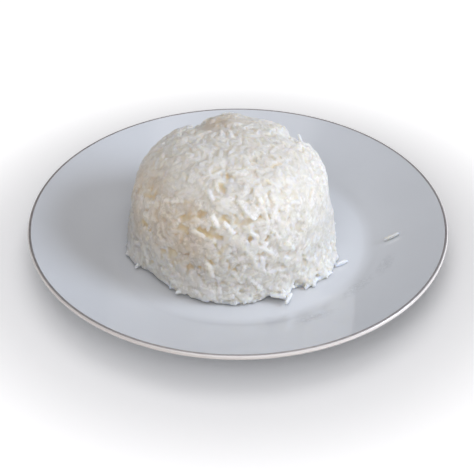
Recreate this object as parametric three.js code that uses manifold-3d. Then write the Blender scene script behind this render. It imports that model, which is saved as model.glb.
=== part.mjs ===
// A moulded mound of cooked white rice on a round porcelain plate, with one loose grain on the rim.
// Millimetres, +Z up. The origin is the centre of the plate's foot ring, on the surface it stands on.
// The viewer sits at -Y, so +X is to the right and an azimuth of -90 degrees faces the viewer.
import * as THREE from "three";
import { ConvexHull } from "three/addons/math/ConvexHull.js";
import { mergeVertices } from "three/addons/utils/BufferGeometryUtils.js";
import Module from "manifold-3d";

const wasm = await Module();
wasm.setup();

// Driving dimensions of the plate
const PLATE_RADIUS = 114;
const PLATE_HEIGHT = 22;
const WELL_FLOOR = 6; // top of the flat well above the table
const WELL_RADIUS = 69; // where the flat well ends and the verge starts
const VERGE_RADIUS = 78; // where the verge ends and the rim starts
const VERGE_RISE = 2.6;
const WALL = 3.4;
const LIP_RADIUS = 1.6; // the lip is a half round of this radius
const FOOT_RADIUS = 62;
const FOOT_WIDTH = 3.4;
const FOOT_HEIGHT = WELL_FLOOR - WALL;
const FOOT_SLOPE = 0.8; // how far the foot ring spreads at its root, each side
const UNDER_START = [WELL_RADIUS - 1, FOOT_HEIGHT]; // radius and height where the underside turns up
const UNDER_BEND = [WELL_RADIUS + 5, FOOT_HEIGHT];
const UNDER_VERGE = [VERGE_RADIUS + 2, WELL_FLOOR + VERGE_RISE - WALL + 0.6];
const UNDER_RIM_BEND = [98.5, 12.6];
const RIM_BEND = [97, 16]; // the rim sags this way between the verge and the lip
const VERGE_BEND = [WELL_RADIUS + 3.5, WELL_FLOOR];
const PLATE_SIDES = 72;
const CURVE_STEPS = 3;

// Driving dimensions of the mound, as it left the bowl that moulded it
const MOUND_X = -2.7; // it sits a little left of the plate's centre
const MOUND_Y = -2.4; // and a little towards the viewer
const MOUND_RADIUS = 57;
const MOUND_HEIGHT = 64.5;
const TAPER = 0.147; // share of the radius that the straight side loses towards the top
const SHOULDER = 0.475; // share of the height where the side starts to round over
const ROUNDNESS = 2.5; // 2 is an ellipse, more is squarer
const TUCK = 1.6; // how far the foot curls in under the side
const TUCK_HEIGHT = 5;
const HULL_CENTRE = 22; // every surface point can be seen from this height on the axis
const GAP = 0.2; // between the rice and the plate

// Places where the mound stands out (+) or has lost rice (-): azimuth and reach in degrees,
// height and spread in mm, and depth in mm.
const SWELLS = [
  { azimuth: -178, reach: 22, height: 10, spread: 20, depth: 1.4 },
  { azimuth: -160, reach: 10, height: 1, spread: 7, depth: 2.4 },
  { azimuth: -139, reach: 13, height: 2, spread: 7, depth: -2.2 },
  { azimuth: -96, reach: 24, height: 1, spread: 6, depth: 1.6 },
  { azimuth: -70, reach: 5, height: 0.5, spread: 2.4, depth: -3.6 },
  { azimuth: -62.5, reach: 4, height: 1.5, spread: 3.5, depth: 5 },
  { azimuth: -55, reach: 5.5, height: 2.5, spread: 2.8, depth: -4.4 },
  { azimuth: -45, reach: 5, height: 0, spread: 4, depth: 1.8 },
  { azimuth: -33, reach: 17, height: 1, spread: 6, depth: 5.2 },
  { azimuth: -41, reach: 3.5, height: 3, spread: 2.2, depth: -3 },
  { azimuth: 0, reach: 18, height: 31, spread: 9, depth: -1.7 },
  { azimuth: -75, reach: 40, height: 38, spread: 9, depth: -0.9 },
  { azimuth: 150, reach: 30, height: 30, spread: 14, depth: 1 },
  { azimuth: 60, reach: 25, height: 8, spread: 7, depth: -1.4 },
  { azimuth: 18, reach: 6, height: 58, spread: 3, depth: -2.4 },
  { azimuth: 38, reach: 6, height: 53, spread: 6, depth: -4 },
  { azimuth: 92, reach: 10, height: 57.5, spread: 5, depth: 1.7 },
  { azimuth: 118, reach: 6, height: 55, spread: 6, depth: -3.6 },
  { azimuth: 133, reach: 12, height: 61, spread: 4, depth: -2.2 },
];

// Driving dimensions of one cooked long grain
const GRAIN_LENGTH = 9.3;
const GRAIN_WIDTH = 2.3;
const RIDGE = 1.15; // a grain's back above the mould's surface
const VALLEY = 1.05; // the gap between grains below it
const RIDGE_STEP = 2.8; // between the points along a grain's back
const RIDGE_ROOM = 3; // between the backs of two grains
const FLANK = 1.5; // from a grain's back to the gap beside it
const GAP_STEP = 1.95; // between the points in the gaps
const GRAIN_SIDES = 5;
const GRAIN_BEND = 0.5; // how far the middle of a grain bows out
const LENGTH_SHARES = [1, 0.72, 0.5]; // whole grains, and ones broken or half hidden
const PLACING_TRIES = 7000; // for each length
const GAP_TRIES = 40000;
const LOWEST_GAP = 1.4; // no gap point is nearer the foot than this
const FOOT_POINTS = 110;
const FOOT_OUT = 0.7; // the foot's outline runs in and out by this much
const FOOT_IN = -0.8;
const FOOT_CHANCE = 0.4;
const STRAY_GRAINS = 14;
const LOWEST_STRAY = 4;
const LEAST_HOLD = 0.08; // share of a grain that must be inside the mound to hold it
const RANDOM_SEED = 20417;

// Where the loose grain lies on the rim, and the way it points in degrees
const LOOSE_X = 83.9;
const LOOSE_Y = -9.5;
const LOOSE_HEADING = 13;
const LOOSE_WIDTH = 2.2;
const LOOSE_CLEARANCE = 0.45; // the rim curves up under its ends

// Grains that stand out of the mound, in the mound's own frame: the one that stands up at the right
// of the top, the one whose tip hangs over the gap at the top's left and one beyond that gap, the
// clump at the foot's front right, and the one that points away from the foot at the right.
const STANDING = [
  { x: 36.3, y: 17.5, z: 53.4, heading: 180, rise: 70 },
  { x: -13.2, y: 30.6, z: 57.2, heading: 6, rise: 22 },
  { x: -29.5, y: 16.5, z: 58.2, heading: 66, rise: 8 },
  { x: 28.9, y: -53.6, z: 3, heading: 84, rise: 32 },
  { x: 22.6, y: -52.9, z: 4, heading: -6, rise: -6 },
  { x: 27.4, y: -54, z: 1.7, heading: -40, rise: 0 },
  { x: 56.5, y: -22.9, z: 1.4, heading: 33, rise: 0 },
  { x: 39.6, y: -42.4, z: 1.6, heading: 52, rise: 4 },
];

// The same numbers on every run, each from 0 to 1.
function randomSource(seed) {
  let state = seed;
  return () => {
    state = (state + 0x6d2b79f5) | 0;
    let mixed = Math.imul(state ^ (state >>> 15), 1 | state);
    mixed = (mixed + Math.imul(mixed ^ (mixed >>> 7), 61 | mixed)) ^ mixed;
    return ((mixed ^ (mixed >>> 14)) >>> 0) / 4294967296;
  };
}
const random = randomSource(RANDOM_SEED);
const between = (low, high) => low + (high - low) * random();
const radians = THREE.MathUtils.degToRad;

// A closed profile, radius by height, turned round +Z.
function turned(profile, sides) {
  return new THREE.LatheGeometry(profile, sides).rotateX(Math.PI / 2);
}

// From the middle of the underside, over the foot ring and round the lip, to the middle of the well.
function plateGeometry() {
  const lipX = PLATE_RADIUS - LIP_RADIUS;
  const lipZ = PLATE_HEIGHT - LIP_RADIUS;
  const footIn = FOOT_RADIUS - FOOT_WIDTH / 2;
  const footOut = FOOT_RADIUS + FOOT_WIDTH / 2;
  const section = new THREE.Path();
  section.moveTo(0, FOOT_HEIGHT);
  section.lineTo(footIn - FOOT_SLOPE, FOOT_HEIGHT);
  section.lineTo(footIn, 0);
  section.lineTo(footOut, 0);
  section.lineTo(footOut + FOOT_SLOPE, FOOT_HEIGHT);
  section.lineTo(...UNDER_START);
  section.quadraticCurveTo(...UNDER_BEND, ...UNDER_VERGE);
  section.quadraticCurveTo(...UNDER_RIM_BEND, lipX, lipZ - LIP_RADIUS);
  section.absarc(lipX, lipZ, LIP_RADIUS, -Math.PI / 2, Math.PI / 2, false);
  section.quadraticCurveTo(...RIM_BEND, VERGE_RADIUS, WELL_FLOOR + VERGE_RISE);
  section.quadraticCurveTo(...VERGE_BEND, WELL_RADIUS, WELL_FLOOR);
  section.lineTo(0, WELL_FLOOR);
  return turned(section.getPoints(CURVE_STEPS), PLATE_SIDES);
}

// Radius of the mould's wall at a height above the mound's foot.
function mouldRadius(z) {
  const share = z / MOUND_HEIGHT;
  const over = Math.max(0, (share - SHOULDER) / (1 - SHOULDER));
  const round = Math.pow(Math.max(0, 1 - Math.pow(over, ROUNDNESS)), 1 / ROUNDNESS);
  const under = Math.max(0, 1 - z / TUCK_HEIGHT);
  return MOUND_RADIUS * (1 - TAPER * share) * round - TUCK * under * under;
}

function swellAt(azimuth, z) {
  let sum = 0;
  for (const s of SWELLS) {
    const turn = Math.atan2(
      Math.sin(azimuth - radians(s.azimuth)),
      Math.cos(azimuth - radians(s.azimuth)),
    );
    const across = turn / radians(s.reach);
    const up = (z - s.height) / s.spread;
    sum += s.depth * Math.exp(-across * across - up * up);
  }
  return sum;
}

// The mould's side view from the top centre to the foot, with the area passed so far.
const PROFILE_STEPS = 400;
const side = [];
for (let i = 0; i <= PROFILE_STEPS; i++) {
  const down = Math.pow(i / PROFILE_STEPS, 2);
  const z = MOUND_HEIGHT * (1 - down);
  const r = i === 0 ? 0 : mouldRadius(z);
  const last = side[i - 1] ?? { r, z, area: 0 };
  const strip = Math.PI * (r + last.r) * Math.hypot(r - last.r, z - last.z);
  side.push({ r, z, area: last.area + strip });
}
const MOULD_AREA = side[PROFILE_STEPS].area;

// A point of the mould, its outward normal and two directions along the surface.
function mouldPoint(share, azimuth) {
  const target = share * MOULD_AREA;
  let i = 1;
  while (i < PROFILE_STEPS && side[i].area < target) i++;
  const a = side[i - 1];
  const b = side[i];
  const t = THREE.MathUtils.clamp((target - a.area) / (b.area - a.area), 0, 1);
  const r = a.r + (b.r - a.r) * t;
  const z = a.z + (b.z - a.z) * t;
  const fall = Math.hypot(b.r - a.r, b.z - a.z);
  const outR = -(b.z - a.z) / fall;
  const outZ = (b.r - a.r) / fall;
  const cos = Math.cos(azimuth);
  const sin = Math.sin(azimuth);
  const normal = new THREE.Vector3(outR * cos, outR * sin, outZ);
  const round = new THREE.Vector3(-sin, cos, 0);
  const place = new THREE.Vector3(r * cos, r * sin, z);
  place.addScaledVector(normal, swellAt(azimuth, z));
  return { place, normal, round, up: new THREE.Vector3().crossVectors(normal, round) };
}

// Remembers points and tells whether a new one is closer to any of them than a distance.
class Neighbours {
  constructor(cell) {
    this.cell = cell;
    this.cells = new Map();
  }
  key(x, y, z) {
    return `${x},${y},${z}`;
  }
  index(p) {
    return [p.x, p.y, p.z].map((v) => Math.floor(v / this.cell));
  }
  add(p) {
    const key = this.key(...this.index(p));
    if (!this.cells.has(key)) this.cells.set(key, []);
    this.cells.get(key).push(p);
  }
  crowd(p, distance) {
    const [x, y, z] = this.index(p);
    for (let i = x - 1; i <= x + 1; i++)
      for (let j = y - 1; j <= y + 1; j++)
        for (let k = z - 1; k <= z + 1; k++)
          for (const q of this.cells.get(this.key(i, j, k)) ?? [])
            if (q.distanceTo(p) < distance) return true;
    return false;
  }
}

// The bowl pressed the grains flat at the top of the mound and left them rougher towards the foot.
const ROUGHEST = 1.12;
const SMOOTHEST = 0.75;
const ROUGH_UP_TO = 20;
function coarseness(z) {
  const risen = THREE.MathUtils.smoothstep(z, ROUGH_UP_TO, MOUND_HEIGHT);
  return THREE.MathUtils.lerp(ROUGHEST, SMOOTHEST, risen);
}

// The points of the mound's skin: the foot's ragged outline, the back of each grain, and the gaps
// between grains.
function moundPoints() {
  const points = [];
  const backs = new Neighbours(RIDGE_ROOM);
  const gaps = new Neighbours(GAP_STEP);
  const keep = (list, surface, place) => {
    list.add(surface);
    points.push(place);
  };
  for (let i = 0; i < FOOT_POINTS; i++) {
    const azimuth = (i / FOOT_POINTS) * 2 * Math.PI;
    const ragged = (i % 2 ? FOOT_OUT : FOOT_IN) + between(-FOOT_CHANCE, FOOT_CHANCE);
    const r = mouldRadius(0) + swellAt(azimuth, 0) + ragged;
    const place = new THREE.Vector3(r * Math.cos(azimuth), r * Math.sin(azimuth), 0);
    keep(gaps, place.clone(), place);
  }
  // Whole grains find their places first, and broken ones fill what is left between them.
  for (const share of LENGTH_SHARES)
    for (let i = 0; i < PLACING_TRIES; i++) {
      const m = mouldPoint(random(), between(0, 2 * Math.PI));
      const heading = between(0, Math.PI);
      const length = GRAIN_LENGTH * share * between(0.9, 1.1) - GRAIN_WIDTH;
      const along = m.round
        .clone()
        .multiplyScalar(Math.cos(heading))
        .addScaledVector(m.up, Math.sin(heading));
      const steps = Math.max(1, Math.round(length / RIDGE_STEP));
      const tip = m.place.clone().addScaledVector(along, length / 2);
      const tail = m.place.clone().addScaledVector(along, -length / 2);
      if (Math.min(tip.z, tail.z) < GRAIN_WIDTH * 0.8) continue;
      const height = RIDGE * coarseness(m.place.z) * between(0.7, 1.3);
      const spots = [];
      for (let k = 0; k <= steps; k++) {
        const from = tail.clone().lerp(tip, k / steps);
        spots.push(ontoMould(from, k === 0 || k === steps ? height * 0.6 : height));
      }
      if (spots.some((s) => backs.crowd(s.surface, RIDGE_ROOM))) continue;
      for (const s of spots) keep(backs, s.surface, s.place);
    }
  for (let i = 0; i < GAP_TRIES; i++) {
    const m = mouldPoint(random(), between(0, 2 * Math.PI));
    if (m.place.z < LOWEST_GAP) continue;
    if (backs.crowd(m.place, FLANK) || gaps.crowd(m.place, GAP_STEP)) continue;
    const depth = VALLEY * coarseness(m.place.z) * between(0.5, 1.4);
    keep(gaps, m.place, m.place.clone().addScaledVector(m.normal, -depth));
  }
  return points;
}

// The mould's surface under a point beside it, and the same place raised along the normal.
function ontoMould(point, lift) {
  const azimuth = Math.atan2(point.y, point.x);
  let best = null;
  const r = Math.hypot(point.x, point.y);
  for (let i = 1; i <= PROFILE_STEPS; i++) {
    const d = Math.hypot(side[i].r - r, side[i].z - point.z);
    if (!best || d < best.d) best = { d, i };
  }
  const m = mouldPoint(side[best.i].area / MOULD_AREA, azimuth);
  return { surface: m.place, place: m.place.clone().addScaledVector(m.normal, lift) };
}

// Joins points that a centre can see into one closed skin: neighbours on a sphere round the centre
// are neighbours on the skin.
function skinOf(points, centre) {
  const seen = points.map((p) => p.clone().sub(centre).normalize());
  const number = new Map(seen.map((p, i) => [p, i]));
  const hull = new ConvexHull().setFromPoints(seen);
  const index = [];
  for (const face of hull.faces) {
    let edge = face.edge;
    do {
      index.push(number.get(edge.head().point));
      edge = edge.next;
    } while (edge !== face.edge);
  }
  const geometry = new THREE.BufferGeometry().setFromPoints(points);
  return geometry.setIndex(index);
}

// One cooked grain, lying along X: a slim spindle with blunt ends, bent a little towards +Y.
function grainGeometry(length, width) {
  const half = length / 2;
  const outline = [
    [0, -1],
    [0.72, -0.74],
    [1, 0.1],
    [0.66, 0.78],
    [0, 1],
  ].map(([across, along]) => new THREE.Vector2((across * width) / 2, along * half));
  const geometry = new THREE.LatheGeometry(outline, GRAIN_SIDES).rotateZ(-Math.PI / 2);
  const at = geometry.attributes.position;
  for (let i = 0; i < at.count; i++) {
    const along = at.getX(i) / half;
    at.setY(i, at.getY(i) + GRAIN_BEND * (1 - along * along));
  }
  return geometry;
}

// Where a grain lies: its middle, and the way its tip points, turned round Z and then raised.
function grainPlace(x, y, z, heading, rise) {
  const turn = new THREE.Euler(0, radians(-rise), radians(heading), "ZYX");
  return new THREE.Matrix4()
    .makeRotationFromEuler(turn)
    .setPosition(x, y, z);
}

function solidOf(geometry) {
  const bare = geometry.clone();
  bare.deleteAttribute("normal");
  bare.deleteAttribute("uv");
  const merged = mergeVertices(bare, 1e-3);
  const corners = merged.index.array;
  const kept = [];
  for (let i = 0; i < corners.length; i += 3) {
    const [a, b, c] = [corners[i], corners[i + 1], corners[i + 2]];
    if (a !== b && b !== c && c !== a) kept.push(a, b, c);
  }
  return new wasm.Manifold(
    new wasm.Mesh({
      numProp: 3,
      vertProperties: merged.attributes.position.array,
      triVerts: new Uint32Array(kept),
    }),
  );
}

function geometryOf(solid) {
  const mesh = solid.getMesh();
  return new THREE.BufferGeometry()
    .setAttribute("position", new THREE.BufferAttribute(mesh.vertProperties, 3))
    .setIndex(new THREE.BufferAttribute(mesh.triVerts, 1));
}

// Grains that stick to the skin at random, half sunk in it.
function strayPlaces() {
  const places = [];
  while (places.length < STRAY_GRAINS) {
    const m = mouldPoint(random(), between(0, 2 * Math.PI));
    if (m.place.z < LOWEST_STRAY) continue;
    const heading = between(0, Math.PI);
    const along = m.round
      .clone()
      .multiplyScalar(Math.cos(heading))
      .addScaledVector(m.up, Math.sin(heading))
      .addScaledVector(m.normal, between(-0.1, 0.45))
      .normalize();
    const across = new THREE.Vector3().crossVectors(m.normal, along).normalize();
    const out = new THREE.Vector3().crossVectors(along, across);
    const place = m.place.clone().addScaledVector(m.normal, RIDGE * 0.45);
    places.push(new THREE.Matrix4().makeBasis(along, across, out).setPosition(place));
  }
  return places;
}

function moundGeometry() {
  const rest = new THREE.Vector3(0, 0, HULL_CENTRE);
  let mound = solidOf(skinOf(moundPoints(), rest));
  const places = [
    ...STANDING.map((g) => grainPlace(g.x, g.y, g.z, g.heading, g.rise)),
    ...strayPlaces(),
  ];
  for (const place of places) {
    const length = GRAIN_LENGTH * between(0.85, 1.05);
    const grain = solidOf(grainGeometry(length, GRAIN_WIDTH).applyMatrix4(place));
    const held = mound.intersect(grain).volume() > grain.volume() * LEAST_HOLD;
    if (held) mound = mound.add(grain);
  }
  return geometryOf(mound);
}

// Height of the plate's upper face at a radius on the rim, where it is close to a straight slope.
function rimHeight(radius) {
  const curve = new THREE.QuadraticBezierCurve(
    new THREE.Vector2(VERGE_RADIUS, WELL_FLOOR + VERGE_RISE),
    new THREE.Vector2(...RIM_BEND),
    new THREE.Vector2(PLATE_RADIUS - LIP_RADIUS, PLATE_HEIGHT),
  );
  let t = 0;
  while (t < 1 && curve.getPoint(t).x < radius) t += 0.005;
  return curve.getPoint(t).y;
}

const part = new THREE.Group();

function addPiece(name, geometry, material) {
  const mesh = new THREE.Mesh(geometry, material);
  mesh.name = name;
  part.add(mesh);
  return mesh;
}

const porcelain = new THREE.MeshStandardMaterial({ color: 0xccd3de, roughness: 0.18, metalness: 0 });
const cookedRice = new THREE.MeshStandardMaterial({ color: 0xe4e0da, roughness: 0.5, metalness: 0 });

addPiece("plate", plateGeometry(), porcelain);

const mound = addPiece("rice_mound", moundGeometry(), cookedRice);
mound.position.set(MOUND_X, MOUND_Y, WELL_FLOOR + GAP);

// The loose grain lies along the slope of the rim.
const looseRadius = Math.hypot(LOOSE_X, LOOSE_Y);
const reach = GRAIN_LENGTH * 0.43;
const climb = rimHeight(looseRadius + reach) - rimHeight(looseRadius - reach);
const loose = addPiece("loose_grain", grainGeometry(GRAIN_LENGTH, LOOSE_WIDTH), cookedRice);
loose.rotation.set(0, -Math.atan2(climb, 2 * reach), radians(LOOSE_HEADING), "ZYX");
loose.position.set(LOOSE_X, LOOSE_Y, rimHeight(looseRadius) + LOOSE_WIDTH / 2 + LOOSE_CLEARANCE);

export default part;
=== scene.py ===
# %% [markdown]
# White rice on a porcelain plate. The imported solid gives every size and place, and this file
# dresses it. Lengths are worked out in millimetres, as a cook or a potter would measure them, and
# turned into Blender's metres where a mesh is made.

# %% Load the frame
import math
import bpy
import numpy as np
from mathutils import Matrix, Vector
from mathutils.kdtree import KDTree


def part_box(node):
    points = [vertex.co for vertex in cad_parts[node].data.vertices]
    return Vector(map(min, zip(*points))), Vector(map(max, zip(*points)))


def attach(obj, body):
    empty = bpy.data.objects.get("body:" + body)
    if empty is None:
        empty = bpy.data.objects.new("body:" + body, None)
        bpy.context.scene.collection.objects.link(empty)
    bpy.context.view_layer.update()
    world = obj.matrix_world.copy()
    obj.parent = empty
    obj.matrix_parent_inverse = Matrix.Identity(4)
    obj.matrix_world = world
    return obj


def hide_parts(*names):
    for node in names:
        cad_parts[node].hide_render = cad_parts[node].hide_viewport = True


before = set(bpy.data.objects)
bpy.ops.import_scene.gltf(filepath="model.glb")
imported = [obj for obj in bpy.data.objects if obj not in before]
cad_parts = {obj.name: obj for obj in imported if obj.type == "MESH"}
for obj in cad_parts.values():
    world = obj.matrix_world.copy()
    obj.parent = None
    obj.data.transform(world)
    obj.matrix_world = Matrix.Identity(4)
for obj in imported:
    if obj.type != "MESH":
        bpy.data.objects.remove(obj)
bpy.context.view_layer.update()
MM = 0.001
plate_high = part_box("plate")[1]
PLATE_RADIUS = plate_high.x / MM
PLATE_HEIGHT = plate_high.z / MM
print("plate radius", round(PLATE_RADIUS, 1), "height", round(PLATE_HEIGHT, 1))

# %% [markdown]
# The camera comes first, so that every later step can be looked at. The photograph was taken from
# a seat at the table, about an arm's length away: the round rim looks like an oval, and its width
# against its height gives the angle from above. A longer lens at a longer distance would draw the
# same oval but a flatter mound.

# %% Camera
CAMERA_ELEVATION = 35.71  # degrees
CAMERA_DISTANCE = 570.0  # mm from the middle of the rim
CAMERA_LENS = 78.9
LOOK_AT = Vector((-0.5, 0.0, 5.2))
seat = math.radians(CAMERA_ELEVATION)
eye = Vector((0, -math.cos(seat), math.sin(seat))) * CAMERA_DISTANCE + Vector((0, 0, PLATE_HEIGHT))
camera_data = bpy.data.cameras.new("camera")
camera_data.lens = CAMERA_LENS
camera = bpy.data.objects.new("camera", camera_data)
camera.location = eye * MM
camera.rotation_euler = (LOOK_AT - eye).to_track_quat("-Z", "Y").to_euler()
bpy.context.scene.collection.objects.link(camera)
bpy.context.scene.camera = camera
print("camera at", [round(c, 3) for c in camera.location], "metres")

# %% [markdown]
# An operator in Blender acts on all that is selected, and loading the frame leaves the solids
# selected, so each piece starts with nothing selected. Leaving edit mode first matters too, because
# selecting whole objects only works outside it.

# %% Helper for selecting
def nothing_selected():
    """Leaves edit mode and clears the selection."""
    if bpy.context.object and bpy.context.object.mode != "OBJECT":
        bpy.ops.object.mode_set(mode="OBJECT")
    bpy.ops.object.select_all(action="DESELECT")


# %% [markdown]
# The plate is pressed or turned in a mould, so its section is all there is to draw: from the middle
# of the underside round the foot ring and the lip to the middle of the well. Curves with one corner
# point each are enough for it, as on a potter's template. A subdivided cylinder would round every
# edge alike, where a real plate keeps a tight foot, a soft verge and a half-round lip.

# %% Curves of the plate's section
WELL_FLOOR = 6.0  # height of the flat well, mm
WELL_RADIUS = 69.0
VERGE_RADIUS = 78.0  # where the well has turned up into the rim
VERGE_RISE = 2.6
VERGE = (VERGE_RADIUS, WELL_FLOOR + VERGE_RISE)
VERGE_START = 3.5  # from the well's edge to the corner of the curve between them
WALL = 3.4
LIP_RADIUS = 1.3
RIM_BEND = (97, 16)  # corner of the rim's inner curve, as radius and height
UNDER_RIM_BEND = (98.5, 12.6)


def bend(start, corner, end, steps):
    """Points of a quadratic curve after its start, as (radius, height)."""
    points = []
    for i in range(1, steps + 1):
        t = i / steps
        points.append(tuple(
            (1 - t) ** 2 * a + 2 * t * (1 - t) * b + t * t * c
            for a, b, c in zip(start, corner, end)
        ))
    return points


def lip_arc(first, last, steps):
    """Points of the half-round lip between two angles in degrees."""
    points = []
    for i in range(steps + 1):
        angle = math.radians(first + (last - first) * i / steps)
        points.append((
            PLATE_RADIUS - LIP_RADIUS + LIP_RADIUS * math.cos(angle),
            PLATE_HEIGHT - LIP_RADIUS + LIP_RADIUS * math.sin(angle),
        ))
    return points


print("wall", WALL, "mm, lip", round(2 * LIP_RADIUS, 1), "mm thick")

# %% [markdown]
# The section needs more points where the eye is strict: along the lip, where a painted line will
# need its own faces, and along the rim, which mirrors the light. The hidden foot ring gets a few.
# Points at even steps would be simpler, but would either facet the rim or waste faces underneath.

# %% Plate section
FOOT_RADIUS = 62.0
FOOT_WIDTH = 3.4
FOOT_HEIGHT = WELL_FLOOR - WALL
FOOT_ROUND = 0.5  # rounding of the ring that the plate stands on
FOOT_LEAN = 0.1  # how far the ring's sides draw in as they turn under
FOOT_EDGE = 0.7  # from the ring's sides to the flat that touches the table
FOOT_FILLET = 2.4  # where the ring runs out into the underside
UNDER_VERGE = (VERGE_RADIUS + 2, WELL_FLOOR + VERGE_RISE - WALL + 0.6)
UNDER_WELL = (WELL_RADIUS - 1, FOOT_HEIGHT)
UNDER_WELL_BEND = (WELL_RADIUS + 5, FOOT_HEIGHT)
WELL_FLAT = WELL_RADIUS - 1.5  # a last point on the flat, so that the smooth shading stops there
LINE_FROM = 60  # angle on the lip at which the painted line starts, degrees
FILLET_STEPS = 4
FOOT_STEPS = 3
UNDERSIDE_STEPS = 6
UNDER_RIM_STEPS = 8
LIP_STEPS = 9
LINE_STEPS = 2
RIM_STEPS = 64
VERGE_STEPS = 6


def foot_ring():
    """Points of the underside from the middle to outside the foot ring."""
    ring_in = FOOT_RADIUS - FOOT_WIDTH / 2
    ring_out = FOOT_RADIUS + FOOT_WIDTH / 2
    fillet_end = (ring_out + FOOT_FILLET, FOOT_HEIGHT)
    points = [(0, FOOT_HEIGHT), (ring_in - FOOT_FILLET, FOOT_HEIGHT)]
    points += bend(points[-1], (ring_in - FOOT_ROUND, FOOT_HEIGHT), (ring_in, FOOT_ROUND), FILLET_STEPS)
    points += bend(points[-1], (ring_in + FOOT_LEAN, 0), (ring_in + FOOT_EDGE, 0), FOOT_STEPS)
    points += [(ring_out - FOOT_EDGE, 0)]
    points += bend(points[-1], (ring_out - FOOT_LEAN, 0), (ring_out, FOOT_ROUND), FOOT_STEPS)
    points += bend(points[-1], (ring_out + FOOT_ROUND, FOOT_HEIGHT), fillet_end, FILLET_STEPS)
    return points


def plate_section():
    """The whole section, from the middle of the underside to the middle of the well."""
    lip = lip_arc(-90, LINE_FROM, LIP_STEPS) + lip_arc(LINE_FROM, 90, LINE_STEPS)[1:]
    well_bend = (WELL_RADIUS + VERGE_START, WELL_FLOOR)
    points = foot_ring() + [UNDER_WELL]
    points += bend(UNDER_WELL, UNDER_WELL_BEND, UNDER_VERGE, UNDERSIDE_STEPS)
    points += bend(UNDER_VERGE, UNDER_RIM_BEND, lip[0], UNDER_RIM_STEPS)
    points += lip[1:]
    points += bend(lip[-1], RIM_BEND, VERGE, RIM_STEPS)
    points += bend(VERGE, well_bend, (WELL_RADIUS, WELL_FLOOR), VERGE_STEPS)
    points += [(WELL_FLAT, WELL_FLOOR), (0, WELL_FLOOR)]
    return points


section = plate_section()
print("plate section", len(section), "points")

# %% [markdown]
# A chain of vertices is extruded along the section, one step at a time, and spun once round the
# axis, as the plate itself turned on its wheel. A Screw modifier could turn the section as well,
# but the spin gives plain faces at once, for the painted line to pick from. It leaves a seam where
# the last copy meets the first and a heap of vertices on the axis, so doubles are merged, and the
# faces are turned outwards.

# %% Draw a section and spin it
PLATE_STEPS = 160
SAME_PLACE = 0.002  # vertices closer than this are one, mm


def draw_chain(name, points):
    """A new object whose vertices are extruded one by one along (radius, height) in mm."""
    nothing_selected()
    bpy.ops.mesh.primitive_plane_add(size=MM)
    made = bpy.context.object
    made.name = name
    bpy.ops.object.mode_set(mode="EDIT")
    bpy.ops.mesh.select_all(action="SELECT")
    bpy.ops.mesh.merge(type="CENTER")
    bpy.ops.transform.translate(value=(points[0][0] * MM, 0, points[0][1] * MM))
    for (r0, z0), (r1, z1) in zip(points, points[1:]):
        step = ((r1 - r0) * MM, 0, (z1 - z0) * MM)
        bpy.ops.mesh.extrude_vertices_move(TRANSFORM_OT_translate={"value": step})
    return made


def spin_chain(made, steps):
    """Spins the chain being edited round Z, closes the seam and points the faces outwards."""
    bpy.ops.mesh.select_all(action="SELECT")
    bpy.ops.mesh.spin(steps=steps, angle=2 * math.pi, center=(0, 0, 0), axis=(0, 0, 1))
    bpy.ops.mesh.select_all(action="SELECT")
    bpy.ops.mesh.remove_doubles(threshold=SAME_PLACE * MM)
    bpy.ops.mesh.normals_make_consistent(inside=False)
    bpy.ops.object.mode_set(mode="OBJECT")
    bpy.ops.object.shade_smooth()
    print(made.name, len(made.data.vertices), "vertices", len(made.data.polygons), "faces")
    return made


plate = spin_chain(draw_chain("porcelain_plate", section), PLATE_STEPS)

# %% [markdown]
# The photograph's table is a plain white surface, so one large flat sheet under the plate is all
# that is needed to catch its shadow. It belongs to the stage and not to the plate.

# %% Floor
FLOOR_SIZE = 6.0  # metres
nothing_selected()
bpy.ops.mesh.primitive_plane_add(size=FLOOR_SIZE)
floor = bpy.context.object
floor.name = "floor"
print("floor", FLOOR_SIZE, "metres wide")

# %% [markdown]
# The mound keeps the shape of the bowl that it was pressed in: a wall that narrows a little towards
# a rounded bottom, now on top. When the bowl was lifted off, the rice gave way in places and stayed
# stuck in others, so the outline bulges and sags. Each swell is one such place. Those at the foot
# are the loose clumps and notches in front, and the last ones are the two notches in the skyline.
# Sculpting them by hand would do too, but numbers can be set against the photograph one by one.

# %% The bowl's size and the mound's swells
MOUND_CENTRE = np.array((-2.7, -2.4, WELL_FLOOR + 0.2))
MOUND_RADIUS = 57.0
MOUND_HEIGHT = 64.5
TAPER = 0.147  # share of the radius that the wall loses over the whole height
SHOULDER = 0.475  # share of the height at which the wall starts to round over
ROUNDNESS = 2.5
TUCK = 1.6  # how far the lowest grains draw in
TUCK_HEIGHT = 5.0
SWELLS = [  # azimuth and reach in degrees; height, spread and depth in mm
    (-178, 22, 10, 20, 1.4), (-160, 10, 1, 7, 2.4), (-139, 13, 2, 7, -2.2), (-96, 24, 1, 6, 1.6),
    (-128, 26, 0, 1.3, -4.0), (-70, 5, 0.5, 2.4, -4.2), (-62.5, 4, 1.5, 3.5, 5.0),
    (-55, 5.5, 2.5, 2.8, -5.4), (-45, 5, 0, 4, 1.8), (-33, 17, 1, 6, 5.2), (-41, 3.5, 3, 2.2, -3.6),
    (0, 18, 31, 9, -1.7), (-75, 40, 38, 9, -0.9), (150, 30, 30, 14, 1.0), (60, 25, 8, 7, -1.4),
    (24, 6, 56, 4, -3.0), (32, 6, 52, 5, -4.2), (40, 6, 48, 5, -3.6), (46, 5, 44, 4, -2.0),
    (92, 10, 57.5, 5, 1.7), (134, 8, 60, 4, -2.5), (127, 6, 57, 4, -4.0), (121, 6, 53, 5, -4.8),
    (116, 5, 48, 4, -3.0),
]
print("mould", 2 * MOUND_RADIUS, "mm wide and", MOUND_HEIGHT, "mm deep,", len(SWELLS), "swells")

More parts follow.
